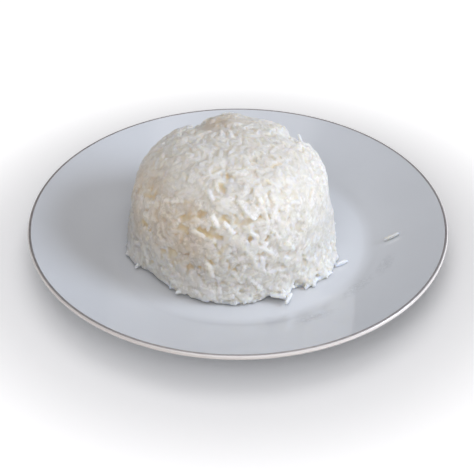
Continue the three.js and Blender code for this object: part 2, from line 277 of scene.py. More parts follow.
# %% [markdown]
# Three kinds of place on the skin look unlike the rest. Pits are where a few grains came away with
# the bowl. Gaps are long openings between grains that lie apart: the rice behind them is lit only
# by light that has gone through other grains, and looks straw-coloured. Hazes are where starch was
# wiped over the grains by the bowl, so that their outlines are blurred. They are set from the
# photograph in front and at random behind.

# %% Pits, gaps and hazes
PITS = [  # place and reach in mm, from the mound's foot
    (-42, -24, 45, 4.5), (-24, -41, 46, 4.0),
    (-16, -44, 47, 3.8), (-1, -46, 48, 4.2), (5, -48, 45, 3.4), (-14, -49, 41, 3.6), (-24, -46, 38, 4.4),
    (-34, -41, 24, 3.4), (-19, -51, 20, 4.6), (-4, -28, 61, 3.6), (14, -44, 49, 3.2), (24, -40, 48, 3.2),
    (0, -53, 30, 3.4), (-8, -51, 35, 3.0), (-40, -36, 33, 3.4), (10, -50, 38, 3.0), (-29, -46, 13, 3.6),
    (20, 46, 44, 4.0), (-20, 47, 35, 4.2), (44, 22, 34, 3.6), (-6, 52, 22, 4.0), (34, 38, 22, 3.8),
    (-44, 26, 28, 3.8), (-30, 40, 12, 4.0), (8, 36, 56, 3.4),
]
GAPS = [  # both ends and half width in mm, from the mound's foot
    (-7, -46, 48, 1, -48, 46, 1.4), (1, -48, 45, 8, -49, 43, 1.0), (-26, -44, 39, -21, -47, 36, 1.5),
    (-17, -47, 41, -12, -50, 38, 1.4), (-14, -49, 39, -5, -51, 38, 1.2),
    (-37, -39, 21, -29, -45, 25, 1.4), (-23, -49, 18, -15, -52, 20, 1.4),
    (-39, -36, 33, -35, -38, 37, 1.0), (-27, -41, 44, -20, -42, 48, 1.1),
    (-19, -44, 46, -13, -45, 47, 1.1), (-47, -25, 30, -44, -31, 28, 1.1),
    (-7, -52, 30, -2, -52, 35, 1.1), (2, -53, 31, 6, -53, 28, 1.1), (14, -51, 29, 17, -50, 30, 0.8),
    (6, -54, 19, 9, -54, 19, 0.8), (-2, -54, 22, 1, -54, 21, 0.8), (-12, -52, 26, -10, -53, 23, 0.8),
    (23, -41, 48, 25, -41, 46, 0.8), (-24, -37, 51, -20, -39, 51, 0.8),
    (-47, -18, 42, -41, -25, 45, 1.1),
    (0, -50, 41, 3, -51, 39, 0.8), (-40, -36, 24, -38, -38, 25, 0.8), (-6, -32, 59, -4, -37, 56, 1.1),
    (-5, -26, 61, 0, -30, 60, 1.0), (20, -20, 60, 24, -16, 60, 1.0), (-8, 20, 63, -4, 30, 60, 0.9),
    (16, -49, 36, 19, -49, 34, 0.8), (-32, -44, 18, -27, -48, 18, 0.8),
    (-43, -35, 11, -39, -40, 11, 0.8),
    (30, 40, 30, 34, 36, 28, 1.2), (-10, 50, 28, -4, 51, 25, 1.3), (46, 20, 22, 48, 15, 24, 1.2),
]
HAZES = [  # place and reach in mm, from the mound's foot
    (-26, -20, 58, 22.0), (-40, -12, 48, 14.0), (36, -20, 53, 18.0), (48, -26, 32, 18.0),
    (-10, 20, 63, 15.0), (20, 30, 56, 14.0), (-44, 20, 44, 12.0), (6, -6, 64, 14.0),
    (54, 5, 20, 15.0), (-20, -36, 54, 10.0),
]
print(len(PITS), "pits,", len(GAPS), "gaps and", len(HAZES), "hazes")

# %% [markdown]
# Two fields are used again and again. One says how much a point belongs to any of a list of round
# patches. The other is a sum of a few waves, which looks uneven like noise, but is the same on every
# run and quick to work out for many points at once.

# %% Patches and ripples
WAVES = ((1, 0.6, -0.4), (-0.5, 1, 0.7), (0.3, -0.8, 1), (0.9, 0.8, 0.6))
WAVE_RATE = 2.4  # radians that the first wave turns over one size
FASTER = 0.5  # how much faster each next wave turns
SHIFTED = 1.7  # where each next wave starts, radians
WAVE_SUM = 3  # about as much as four waves ever add up to


def spots(points, places):
    """How much each point belongs to the round patches in a list, from 0 to 1."""
    share = np.zeros(len(points))
    for x, y, z, reach in places:
        far = ((points - (x, y, z)) ** 2).sum(1) / reach ** 2
        share = np.maximum(share, np.exp(-far))
    return share


def ripple(points, size):
    """Smooth uneven values from about -1 to 1 whose bumps are about size mm across."""
    total = np.zeros(len(points))
    for k, wave in enumerate(WAVES):
        total += np.sin((points @ wave) * (WAVE_RATE + FASTER * k) / size + SHIFTED * k)
    return total / WAVE_SUM


# %% [markdown]
# A formula says how far any point lies outside the bowl's shape, and which way is out. That is all
# that the grains need later on: they are pushed against the wall from the inside, as a spoon pushes
# them against the bowl. A modelled bowl and a shrinkwrap modifier could do it too, but thousands of
# grains have to be tested sixty times each, and a formula does that in seconds.

# %% The distance from the bowl
PIT_DEPTH = 1.1
LUMPS = 0.55  # unevenness of the whole skin, mm
LUMP_SIZE = 7.0
WIPED_EVEN = 0.6  # share of that unevenness that is gone where starch was wiped on


def swell(points):
    """How far the mound bulges past the bowl at each point, in mm."""
    azimuth = np.degrees(np.arctan2(points[:, 1], points[:, 0]))
    total = np.zeros(len(points))
    for middle, reach, height, spread, depth in SWELLS:
        across = ((azimuth - middle + 180) % 360 - 180) / reach
        up = (points[:, 2] - height) / spread
        total += depth * np.exp(-across ** 2 - up ** 2)
    low = np.clip(1 - points[:, 2] / TUCK_HEIGHT, 0, 1)
    uneven = LUMPS * ripple(points, LUMP_SIZE) * (1 - WIPED_EVEN * spots(points, HAZES))
    return total - TUCK * low ** 2 - PIT_DEPTH * spots(points, PITS) + uneven


def outside_bowl(points):
    """How far points lie outside the bowl's shape, in mm, and the way out, from its gradient."""
    # The tiny least values only keep a point on the axis from dividing by zero.
    x, y, z = points.T
    r = np.maximum(np.hypot(x, y), 1e-6)
    wall = MOUND_RADIUS * (1 - TAPER * z / MOUND_HEIGHT)
    side = r / wall
    top = np.clip((z / MOUND_HEIGHT - SHOULDER) / (1 - SHOULDER), 0, None)
    level = (side ** ROUNDNESS + top ** ROUNDNESS) ** (1 / ROUNDNESS)
    share = np.maximum(level, 1e-3) ** (1 - ROUNDNESS)
    by_r = share * side ** (ROUNDNESS - 1) / wall
    by_z = share * (
        top ** (ROUNDNESS - 1) / (MOUND_HEIGHT * (1 - SHOULDER))
        + side ** (ROUNDNESS - 1) * r * MOUND_RADIUS * TAPER / MOUND_HEIGHT / wall ** 2
    )
    steep = np.maximum(np.hypot(by_r, by_z), 1e-4)
    way = np.stack([by_r * x / r, by_r * y / r, by_z], -1) / steep[:, None]
    return (level - 1) / steep - swell(points), way


top_out = outside_bowl(np.array([[0.0, 0.0, MOUND_HEIGHT]]))[0][0]
print("the top bulges", round(-float(top_out), 2), "mm past the bowl")

# %% [markdown]
# A gap runs between two ends on the skin. Its ends are given in a list and seldom lie exactly on the
# bowl's wall, so both they and the points that are asked about are first brought onto it. A gap is
# then the same at any depth, as a crack is.

# %% How much a point belongs to a gap
def gap_share(points, widen=1.0):
    """How much each point belongs to a gap between the grains, from 0 to 1, at any depth."""
    out, way = outside_bowl(points)
    level = points - way * out[:, None]
    share = np.zeros(len(points))
    for gap in GAPS:
        start, run = np.array(gap[:3], dtype=float), np.array(gap[3:6]) - gap[:3]
        start_out, start_way = outside_bowl(start[None])
        start = start - start_way[0] * start_out[0]
        along = np.clip((level - start) @ run / (run @ run), 0, 1)
        far = ((level - start - along[:, None] * run) ** 2).sum(1) / (gap[6] * widen) ** 2
        share = np.maximum(share, np.exp(-far))
    return share


# %% [markdown]
# A cooked long grain is a slim spindle, blunt at one end, flatter than it is wide and a little
# bent. One grain is modelled by hand: a ring of vertices is extruded along its length, each ring
# scaled to the grain's girth there, both ends are drawn together, and a bend modifier curves it.
# Thousands will be copied, so it has only as many faces as its outline needs.

# %% Model a grain
GRAIN_SIDES = 7
WHOLE = [  # place along the grain, and share of its girth there
    (-1.0, 0.0), (-0.97, 0.58), (-0.84, 0.90), (-0.42, 1.0), (0.3, 1.0), (0.78, 0.88), (0.96, 0.56),
    (1.0, 0.0),
]
BROKEN = [(-1.0, 0.0), (-0.94, 0.70), (-0.6, 0.97), (0.2, 1.0), (0.7, 0.97), (0.96, 0.74), (1.0, 0.0)]
FLATNESS = 0.84
ON_RING = 1e-4  # how near a ring's plane a vertex lies to belong to it


def shaped_by(made, kind, **settings):
    """Finishes an object with one modifier and applies it."""
    modifier = made.modifiers.new(kind.lower(), kind)
    for name, value in settings.items():
        setattr(modifier, name, value)
    bpy.ops.object.modifier_apply(modifier=modifier.name)


def close_end(made, ring_x, end_x):
    """Extrudes the ring at one end of a grain to a point."""
    bpy.ops.object.mode_set(mode="OBJECT")
    for v in made.data.vertices:
        v.select = abs(v.co.x - ring_x) < ON_RING
    for e in made.data.edges:
        e.select = all(made.data.vertices[i].select for i in e.vertices)
    for f in made.data.polygons:
        f.select = False
    bpy.ops.object.mode_set(mode="EDIT")
    bpy.ops.mesh.extrude_region_move(TRANSFORM_OT_translate={"value": (end_x - ring_x, 0, 0)})
    bpy.ops.mesh.merge(type="CENTER")


def model_grain(name, stations, bend_degrees):
    """A grain two units long and two wide along X, from (place along, share of girth)."""
    nothing_selected()
    rings = stations[1:-1]
    first_x, first_girth = rings[0]
    bpy.ops.mesh.primitive_circle_add(
        vertices=GRAIN_SIDES, radius=first_girth, location=(first_x, 0, 0), rotation=(0, math.pi / 2, 0)
    )
    made = bpy.context.object
    made.name = name
    bpy.ops.object.transform_apply(location=True, rotation=True, scale=True)
    bpy.ops.object.mode_set(mode="EDIT")
    for (x0, g0), (x1, g1) in zip(rings, rings[1:]):
        bpy.ops.mesh.extrude_region_move(TRANSFORM_OT_translate={"value": (x1 - x0, 0, 0)})
        bpy.ops.transform.resize(value=(1, g1 / g0, g1 / g0))
    close_end(made, rings[-1][0], stations[-1][0])
    close_end(made, first_x, stations[0][0])
    bpy.ops.mesh.select_all(action="SELECT")
    bpy.ops.transform.resize(value=(1, 1, FLATNESS))
    bpy.ops.mesh.normals_make_consistent(inside=False)
    bpy.ops.object.mode_set(mode="OBJECT")
    shaped_by(
        made, "SIMPLE_DEFORM", deform_method="BEND", deform_axis="Z", angle=math.radians(bend_degrees)
    )
    return made


# %% [markdown]
# No two grains are alike, but a handful of bends for whole grains and a few for broken ones is
# enough, since each copy will also get its own length, girth, roll and place. The hand-modelled
# grains are kept as lists of points and faces, ready to be copied. Instances would weigh less, but
# they can't be pressed flat one by one or fused later on.

# %% Template grains
WHOLE_BENDS = (5, 14, 24, 38, 52)  # degrees
BROKEN_BENDS = (4, 20)


def vertex_places(made):
    """The places of an object's vertices, one row each."""
    values = np.zeros(len(made.data.vertices) * 3)
    made.data.vertices.foreach_get("co", values)
    return values.reshape(-1, 3)


def taken_apart(made):
    """The vertices and faces of a template grain as arrays; the template itself goes."""
    points = vertex_places(made)
    faces = [tuple(f.vertices) for f in made.data.polygons]
    bpy.data.objects.remove(made)
    return points, faces


whole_grains = [taken_apart(model_grain("grain", WHOLE, b)) for b in WHOLE_BENDS]
broken_grains = [taken_apart(model_grain("grain", BROKEN, b)) for b in BROKEN_BENDS]
print("grain", len(whole_grains[0][0]), "vertices", len(whole_grains[0][1]), "faces")

# %% [markdown]
# Rice can't be scattered: grains lie against each other. Each grain is taken as a rod with round
# ends. The rods start at random just under the bowl's wall, lying roughly as a spoon left them:
# in a direction that swings slowly from place to place.

# %% Where the grains start
SEED = 20417
SHELL = 5.0  # depth of the skin that gets real grains, mm
START_BOX = ((-62, -62, 0), (62, 62, 66))
START_DEPTH = 0.6
THROWN = 8  # random points thrown for each one that is wanted
SPOON_AXIS = (0.31, 0.17, 1.0)  # the spoon's strokes go round this axis
SPOON_TURNS = (  # turn in radians, shift in mm and size in mm of the waves in its strokes
    (2.6, 0.0, 22.0), (1.1, 40.0, 11.0),
)
rng = np.random.default_rng(SEED)


def bowl_points(count):
    """Random points just inside the bowl's wall, evenly over its area, with the way out."""
    kept = np.zeros((0, 3))
    while len(kept) < count:
        box = rng.uniform(*START_BOX, (count * THROWN, 3))
        depth = outside_bowl(box)[0]
        kept = np.vstack([kept, box[(depth < -START_DEPTH) & (depth > -SHELL)]])
    kept = kept[:count]
    return kept, outside_bowl(kept)[1]


def unit(vectors):
    """The same directions with a length of one."""
    return vectors / np.maximum(np.linalg.norm(vectors, axis=1), 1e-9)[:, None]


def combed(points, way):
    """The way that the spoon left most grains lying."""
    turn = sum(swing * ripple(points + shift, size) for swing, shift, size in SPOON_TURNS)
    level = unit(np.cross(way, SPOON_AXIS))
    steep = np.cross(way, level)
    return level * np.cos(turn)[:, None] + steep * np.sin(turn)[:, None]


# %% [markdown]
# Two rods overlap where their axes come closer than their girths. These helpers list the pairs that
# could touch and find the closest place on each rod. Testing the grains' real faces against each
# other would be exact, but thousands of times slower, and wet rice isn't exact.

# %% Which rods touch
def dot(a, b):
    """Row by row, how far one list of vectors runs along another."""
    return (a * b).sum(1)


def closest(a1, b1, a2, b2):
    """Where two rods come closest: a share along each."""
    d1, d2, gap = b1 - a1, b2 - a2, a1 - a2
    aa, ee, bb = dot(d1, d1), dot(d2, d2), dot(d1, d2)
    cc, ff = dot(d1, gap), dot(d2, gap)
    flat = np.maximum(aa * ee - bb * bb, 1e-9)
    s = np.clip((bb * ff - cc * ee) / flat, 0, 1)
    t = np.clip((bb * s + ff) / ee, 0, 1)
    s = np.clip((bb * t - cc) / aa, 0, 1)
    return s, t


def near_pairs(middle, reach):
    """Pairs of rods whose middles are closer than reach."""
    square = (middle ** 2).sum(1)
    apart = square[:, None] + square[None] - 2 * middle @ middle.T
    i, j = np.nonzero(np.triu(apart < reach ** 2, 1))
    return i, j


# %% [markdown]
# Each pair that overlaps is pushed apart, a part of the way in each round, so that a crowd can
# settle. A push turns a rod as well as moving it: its nearer end takes the larger share.

# %% Push overlapping rods apart
FUSED = 0.74  # share of two grains' girths that sticky rice keeps between them
SOFT_PUSH = 0.35  # share of an overlap that one round takes away


def pushed_apart(a, b, radius, i, j):
    """One round of pushing the rods in each pair away from each other."""
    s, t = closest(a[i], b[i], a[j], b[j])
    gap = (a[i] + (b[i] - a[i]) * s[:, None]) - (a[j] + (b[j] - a[j]) * t[:, None])
    far = np.maximum(np.linalg.norm(gap, axis=1), 1e-6)
    push = (radius[i] + radius[j]) * FUSED - far
    hit = push > 0
    ih, jh, s, t = i[hit], j[hit], s[hit], t[hit]
    weight = (1 - s) ** 2 + s ** 2 + (1 - t) ** 2 + t ** 2
    move = gap[hit] / far[hit][:, None] * push[hit][:, None]
    move = move / weight[:, None] * SOFT_PUSH
    shift_a, shift_b = np.zeros_like(a), np.zeros_like(b)
    np.add.at(shift_a, ih, move * (1 - s)[:, None])
    np.add.at(shift_b, ih, move * s[:, None])
    np.add.at(shift_a, jh, -move * (1 - t)[:, None])
    np.add.at(shift_b, jh, -move * t[:, None])
    return a + shift_a, b + shift_b


# %% [markdown]
# Then each rod that leaves the bowl is pushed back, and all is repeated until they have settled.
# What comes out is what the bowl gave: grains packed flat against its wall at every angle, with
# others showing in the gaps. A rigid body simulation would do the same with real shapes, but it
# would take far longer and wouldn't press the grains together.

# %% Push the grains against the bowl
ROUNDS = 60
PAIR_REACH = 12.0
LOOK_AGAIN = 6  # rounds between two lists of pairs
OFF_STROKE = 0.85  # how far grains lie off the spoon's stroke
LIES_STEEP = 0.5  # spread of how steeply they rise out of the skin, as a share of their length
STEEP_LOW = 1.25  # they rise in full up to a quarter of the height, and less and less above it
STEEP_LEAST = 0.35  # share of their steepness that is left on top
LIFTED_BACK = 0.5  # share by which a grain that sank too deep is lifted in one round
SPOON_PRESSES = 0.04  # how far the spoon presses all grains outwards in one round, mm
RESTS_AT = 0.95  # least height of a grain's axis over the plate, as a share of its radius


def pack_rods(length, radius, press):
    """Both ends of rods that have settled under the bowl's wall."""
    count = len(length)
    middle, way = bowl_points(count)
    along = combed(middle, way) + OFF_STROKE * unit(rng.normal(size=(count, 3)))
    along -= dot(along, way)[:, None] * way
    loose = np.clip(STEEP_LOW - middle[:, 2] / MOUND_HEIGHT, STEEP_LEAST, 1.0)
    along = unit(unit(along) + way * (rng.normal(0, LIES_STEEP, count) * loose)[:, None])
    half = (length / 2 - radius)[:, None]
    a, b = middle - along * half, middle + along * half
    for turn in range(ROUNDS):
        if turn % LOOK_AGAIN == 0:
            i, j = near_pairs((a + b) / 2, PAIR_REACH)
        a, b = pushed_apart(a, b, radius, i, j)
        for end in (a, b):
            out, way = outside_bowl(end)
            over = np.maximum(out + radius * press, 0)
            under = np.maximum(-SHELL - out, 0)
            end += way * (under * LIFTED_BACK - over + SPOON_PRESSES)[:, None]
            end[:, 2] = np.maximum(end[:, 2], radius * RESTS_AT)
        middle, along = (a + b) / 2, unit(b - a)
        a, b = middle - along * half, middle + along * half
    return a, b


# %% [markdown]
# Cooked long-grain rice is 6 to 9 mm long and a little over 2 mm thick, and about a third of the
# grains are broken. Some are pressed further into the wall than others. Grains of one size would
# be quicker to describe, but they line up like tiles.

# %% Pack the skin of the mound
GRAIN_COUNT = 3700
BROKEN_SHARE = 0.36
BROKEN_LENGTH = (3.2, 5.6)
WHOLE_LENGTH = (7.2, 0.7)  # middle and spread
WHOLE_LIMITS = (5.8, 9.0)
GRAIN_RADIUS = (1.04, 1.26)
PRESS = (0.55, 0.30)  # middle and spread of how deep their axes lie under the wall, in radii
PRESS_LIMITS = (-0.1, 1.2)
is_broken = rng.random(GRAIN_COUNT) < BROKEN_SHARE
broken_length = rng.uniform(*BROKEN_LENGTH, GRAIN_COUNT)
whole_length = np.clip(rng.normal(*WHOLE_LENGTH, GRAIN_COUNT), *WHOLE_LIMITS)
grain_length = np.where(is_broken, broken_length, whole_length)
grain_radius = rng.uniform(*GRAIN_RADIUS, GRAIN_COUNT)
grain_press = np.clip(rng.normal(*PRESS, GRAIN_COUNT), *PRESS_LIMITS)
grain_a, grain_b = pack_rods(grain_length, grain_radius, grain_press)
print("packed", GRAIN_COUNT, "grains,", int(is_broken.sum()), "of them broken")

# %% [markdown]
# Thousands of copies are too many for an operator each, so they are written as one mesh. A mesh can
# also keep a value on every vertex, under a name, and a material can read it later. That is how
# each grain gets its own tone with a single material, and how grains on top get painted light and
# pressed ones painted shade.

# %% One mesh with values on its vertices
def keep_on_vertices(mesh, fields):
    """Stores one value a vertex for each named field, for the material to read."""
    for field, values in fields.items():
        if field in mesh.attributes:
            mesh.attributes.remove(mesh.attributes[field])
        stored = mesh.attributes.new(field, "FLOAT", "POINT")
        stored.data.foreach_set("value", values.astype(np.float32))


def make_mesh(name, points, faces, fields):
    """A new object from points in mm and faces, smooth all over, with its fields."""
    mesh = bpy.data.meshes.new(name)
    mesh.from_pydata((points * MM).tolist(), [], faces)
    mesh.polygons.foreach_set("use_smooth", [True] * len(faces))
    keep_on_vertices(mesh, fields)
    mesh.update()
    made = bpy.data.objects.new(name, mesh)
    bpy.context.scene.collection.objects.link(made)
    print(name, len(points), "vertices", len(faces), "faces")
    return made


# %% [markdown]
# The template grains are copied onto the rods, all in one mesh for each kind. Soft grains give way:
# where one would stick out of the bowl's wall its skin is flattened against it, where starch was
# wiped over them the hollows between them are half filled, and over a gap they sink in. Cutting
# them off at the wall would be simpler, but a cut has a hard edge and pressed rice has none.

# %% Lay grains as one mesh
FULLNESS = (1.18, 1.04)  # how much fuller a grain is than its rod, across and up
ROLL = 0.5  # spread of the grains' roll about their own length, radians
SKIN_RIPPLE = 0.08
SKIN_RIPPLE_SIZE = 0.9
PRESSED_LEVEL = 0.4  # how far past the wall the flattened skin lies, mm
PRESSED_UNEVEN = (0.35, 3.1)  # height and size of its waves
PRESSED_SOFT = 0.14  # how softly it is flattened, and as much again where starch was wiped on
GAP_DEPTH = 0.5
GAP_BOTTOM = 1.6  # below this depth nothing sinks, mm
HAZE_LIFT = 0.54  # share of its depth that wiped-over starch fills
HAZE_BOTTOM = 5  # below this depth nothing more is lifted, mm
OFF_PLATE = 0.02
# Grains on top are paler and pressed ones darker: painted light on top, painted shade below, over a
# random tone.
TONES_WITH_PAINTED_LIGHT = {True: (0.0, 0.6), False: (0.6, 1.0)}  # tones of pressed grains, and of those on top


def pressed_flat(points, out, way, blur):
    """The points that would stick out, flattened softly against the bowl's wall."""
    height, size = PRESSED_UNEVEN
    level = PRESSED_LEVEL + height * ripple(points, size)
    soft = PRESSED_SOFT + PRESSED_SOFT * blur
    flat = level - soft * np.logaddexp(0, (level - out) / soft)
    return points + way * (flat - out)[:, None], flat


def lay_grains(name, templates, a, b, radius, pressed=True):
    """Copies the template grains onto rods, presses them on the bowl's wall and joins them."""
    middle, along = (a + b) / 2, unit(b - a)
    half = np.linalg.norm(b - a, axis=1) / 2 + radius
    way = outside_bowl(middle)[1]
    roll = rng.normal(0, ROLL, len(a))
    side = unit(np.cross(way, along))
    lift = np.cross(along, side)
    across = side * np.cos(roll)[:, None] + lift * np.sin(roll)[:, None]
    up = np.cross(along, across)
    which = rng.integers(0, len(templates), len(a))
    tone_and_painted_light = rng.uniform(*TONES_WITH_PAINTED_LIGHT[pressed], len(a))
    points, faces, tones_and_painted_light = [], [], []
    first = 0
    for k in range(len(a)):
        shape, shape_faces = templates[which[k]]
        points.append(
            middle[k]
            + np.outer(shape[:, 0] * half[k], along[k])
            + np.outer(shape[:, 1] * radius[k] * FULLNESS[0], across[k])
            + np.outer(shape[:, 2] * radius[k] * FULLNESS[1], up[k])
        )
        faces += [tuple(v + first for v in f) for f in shape_faces]
        tones_and_painted_light.append(np.full(len(shape), tone_and_painted_light[k]))
        first += len(shape)
    points = np.vstack(points)
    out, way = outside_bowl(points)
    points += way * (ripple(points, SKIN_RIPPLE_SIZE) * SKIN_RIPPLE)[:, None]
    blur = spots(points, HAZES)
    if pressed:
        points, out = pressed_flat(points, out, way, blur)
    points += way * (np.clip(-out, 0, HAZE_BOTTOM) * HAZE_LIFT * blur)[:, None]
    sink = GAP_DEPTH * gap_share(points) * np.clip(GAP_BOTTOM + out, 0, 1)
    points -= way * sink[:, None]
    points[:, 2] = np.maximum(points[:, 2], OFF_PLATE)
    return make_mesh(name, points + MOUND_CENTRE, faces, {"tone_and_painted_light": np.concatenate(tones_and_painted_light)})


# %% [markdown]
# Grains deeper than a few millimetres are never seen and are left out, and so are the ones that
# would bridge a gap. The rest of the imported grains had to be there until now, because they hold
# the outer ones in their places.

# %% Lay the skin of the mound
SEEN_DEPTH = 4.0
GAP_CLEAR = 1.3  # depth down to which a gap is kept clear, mm
IN_GAP = 0.5  # share from which a grain counts as lying in a gap
LONG = 7.4
grain_middle = (grain_a + grain_b) / 2
out = outside_bowl(grain_middle)[0]
bridging = (gap_share(grain_middle) > IN_GAP) & (out > -GAP_CLEAR)
seen = (out > -SEEN_DEPTH) & ~bridging
is_long = grain_length > LONG
sorts = (
    ("long_grains", whole_grains, is_long),
    ("middling_grains", whole_grains, ~is_long & ~is_broken),
    ("broken_grains", broken_grains, is_broken),
)
grains = [
    lay_grains(name, shapes, grain_a[mine & seen], grain_b[mine & seen], grain_radius[mine & seen])
    for name, shapes, mine in sorts
]
print("laid", int(seen.sum()), "grains")

# %% [markdown]
# Between cooked grains there isn't air all the way down but a soft mass of smaller bits and starch.
# A second layer of whole grains could stand for it, at twice the work, and would still let the eye
# through. It is drawn as the bowl's own section instead, with its depth under the wall at each
# point: less where starch was wiped over the grains, more in pits and gaps.

# %% Section and depth of the paste
PASTE_DEPTH = 1.0
PASTE_WAVES = ((0.35, 5.0), (0.15, 2.2))  # height and size of the waves in its surface
PASTE_IN_PITS = 0.2  # how much deeper it lies in pits and in gaps
PASTE_IN_GAPS = 0.3
PASTE_HAZED = 0.58  # share of its depth that wiped-over starch fills
PASTE_LEAST = 0.4
PASTE_MOST = 2.2
PASTE_ROWS = 96
PASTE_CROWDED = 0.9  # a power below 1 sets the rows a little closer together near the top
PASTE_UNDER = 12  # how far in the underside is drawn as one flat disc


def bowl_section():
    """The bowl's own section from the top centre to the foot, and back under it to the axis."""
    points = []
    for i in range(PASTE_ROWS + 1):
        turn = math.pi / 2 * i / PASTE_ROWS
        z = MOUND_HEIGHT * math.cos(turn) ** PASTE_CROWDED
        top = max((z / MOUND_HEIGHT - SHOULDER) / (1 - SHOULDER), 0)
        round_off = max(1 - top ** ROUNDNESS, 0) ** (1 / ROUNDNESS)
        points.append((MOUND_RADIUS * (1 - TAPER * z / MOUND_HEIGHT) * round_off, z))
    return points + [(MOUND_RADIUS - PASTE_UNDER, 0.0), (0.0, 0.0)]


def paste_depth(points):
    """How far the paste lies under the bowl's wall."""
    depth = PASTE_DEPTH
    for height, size in PASTE_WAVES:
        depth = depth + height * ripple(points, size)
    deeper = PASTE_IN_PITS * spots(points, PITS) + PASTE_IN_GAPS * gap_share(points)
    return np.clip(depth * (1 - PASTE_HAZED * spots(points, HAZES)) + deeper, PASTE_LEAST, PASTE_MOST)


# %% [markdown]
# The section is spun like the plate's, and then each vertex is drawn in from the wall along the way
# out. Its underside stays flat, just over the plate.

# %% Spin the paste and draw it in
PASTE_STEPS = 264
PASTE_GROUND = 0.3  # height of its underside over the mound's foot
PASTE_EDGE = 2  # how far in from the foot's edge its ring of vertices is still drawn in
PASTE_TONE = 0.5


def place_vertices(made, points):
    """Puts an object's vertices at points in mm."""
    made.data.vertices.foreach_set("co", (points * MM).ravel())
    made.data.update()


paste = spin_chain(draw_chain("rice_paste", bowl_section()), PASTE_STEPS)
smooth = vertex_places(paste) / MM
out, way = outside_bowl(smooth)
moved = smooth - way * (out + paste_depth(smooth))[:, None]
on_ground = smooth[:, 2] < SAME_PLACE
moved[:, 2] = np.where(on_ground, PASTE_GROUND, np.maximum(moved[:, 2], PASTE_GROUND))
under = on_ground & (np.hypot(smooth[:, 0], smooth[:, 1]) < MOUND_RADIUS - PASTE_EDGE)
moved[under, :2] = smooth[under, :2]
place_vertices(paste, moved + MOUND_CENTRE)
keep_on_vertices(paste.data, {"tone_and_painted_light": np.full(len(moved), PASTE_TONE)})

# %% [markdown]
# Some grains stay whole on top of the pressed skin. The ones that stand out in the photograph are
# placed one by one: a few that stick out of the outline or lie in the notches of the foot, and a
# score that lie on the front. Chance would never put them where the eye remembers them.

# %% Grains placed one by one
STANDING = [  # middle in mm from the mound's foot, heading and rise in degrees
    (36.3, 17.5, 53.4, 180, 70), (-13.4, 31.0, 57.4, 6, 22), (-29.5, 16.5, 58.2, 66, 8),
    (28.8, -54.8, 2.8, 62, 12), (23.2, -54.4, 4.2, -6, -6), (27.0, -54.8, 1.7, -40, 0),
    (58.4, -23.7, 1.4, 33, 0), (39.6, -42.6, 1.6, 52, 4),
]
SEEN = [  # both ends in mm from the mound's foot
    (-46, -22.5, 34.6, -41, -31.5, 36.2), (-20.1, -43.8, 45.7, -12.1, -47.8, 43.7),
    (-11.0, -44.5, 49.0, -6.2, -49.2, 42.2), (-5.1, -47.4, 46.5, 1.8, -51.0, 39.4),
    (-12.3, -52.4, 24.0, -9.9, -53.9, 16.2), (-20.2, -52.1, 7.5, -14.7, -54.6, 2.2),
    (-51.5, -18.5, 11.5, -47.8, -25.5, 15.5), (-36.5, -39.2, 26.0, -29.5, -44.2, 29.2),
    (-44.0, -24.0, 41.5, -38.4, -29.5, 44.8), (-12.6, -35.0, 56.5, -9.6, -40.3, 53.5),
    (-21.1, -46.2, 40.0, -13.1, -49.7, 37.7), (2.2, -40.0, 54.5, 7.2, -44.5, 49.9),
    (5.2, -43.7, 51.1, 12.6, -46.7, 45.4), (7.2, -49.5, 41.9, 14.2, -49.8, 36.6),
    (15.1, -41.6, 50.8, 17.6, -45.6, 44.5), (11.2, -36.0, 56.0, 14.6, -40.5, 51.9),
    (14.8, -51.2, 27.5, 15.9, -52.1, 18.8), (14.7, -50.7, 32.2, 20.3, -49.4, 26.8),
    (-30.4, 9.8, 59.2, -27.4, 17.4, 58.9), (-6.0, 9.4, 64.1, -6.8, 0.9, 64.4),
    (-33.5, -32.1, 48.4, -27.2, -35.6, 50.2), (27.4, -45.0, 31.6, 31.4, -43.7, 25.4),
    (9.8, -54.2, 14.5, 15.0, -53.8, 7.6),
]
SEEN_SINK = 0.15


def standing_rods():
    """Middles and directions of the grains that stick out."""
    places = np.array(STANDING)
    heading, rise = np.radians(places[:, 3]), np.radians(places[:, 4])
    along = np.stack([np.cos(heading) * np.cos(rise), np.sin(heading) * np.cos(rise), np.sin(rise)], -1)
    return places[:, :3], along


def seen_rods():
    """Middles and directions of the grains on the front, sunk a little into the skin."""
    ends = np.array(SEEN)
    middle = (ends[:, :3] + ends[:, 3:]) / 2
    out, way = outside_bowl(middle)
    return middle - way * (SEEN_SINK + out)[:, None], unit(ends[:, 3:] - ends[:, :3])


print("placed by eye", len(STANDING), "grains that stick out and", len(SEEN), "on the front")

# %% [markdown]
# Others are strewn at random all over the skin, sunk in so that only their backs show, fewer on
# top and where starch hides them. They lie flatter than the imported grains, since nothing leans on
# them from outside.

# %% Grains strewn over the skin
STRAY_COUNT = 1700
STRAY_DEPTH = (-1.4, -0.7)  # where their middles lie under the skin, mm
STRAY_ABOVE = 2.5  # the foot has grains of its own
STRAY_OFF_STROKE = 0.9
STRAY_RISE = (-0.12, 0.16)  # how steeply they sink or rise, as a share of their length
STRAY_STEEP_LOW = 1.3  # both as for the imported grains
STRAY_STEEP_LEAST = 0.3
STRAY_WANTED = 1.1  # chance that one is kept: above 1 wherever nothing speaks against it
FEWER_ON_TOP = 0.6
TOP_FROM = 44  # heights in mm between which they get fewer
TOP_FULL = 56
FEWER_IN_HAZE = 1.1
GAP_MARGIN = 1.5  # how much wider than itself a gap keeps them off
GAP_FREE = 0.4


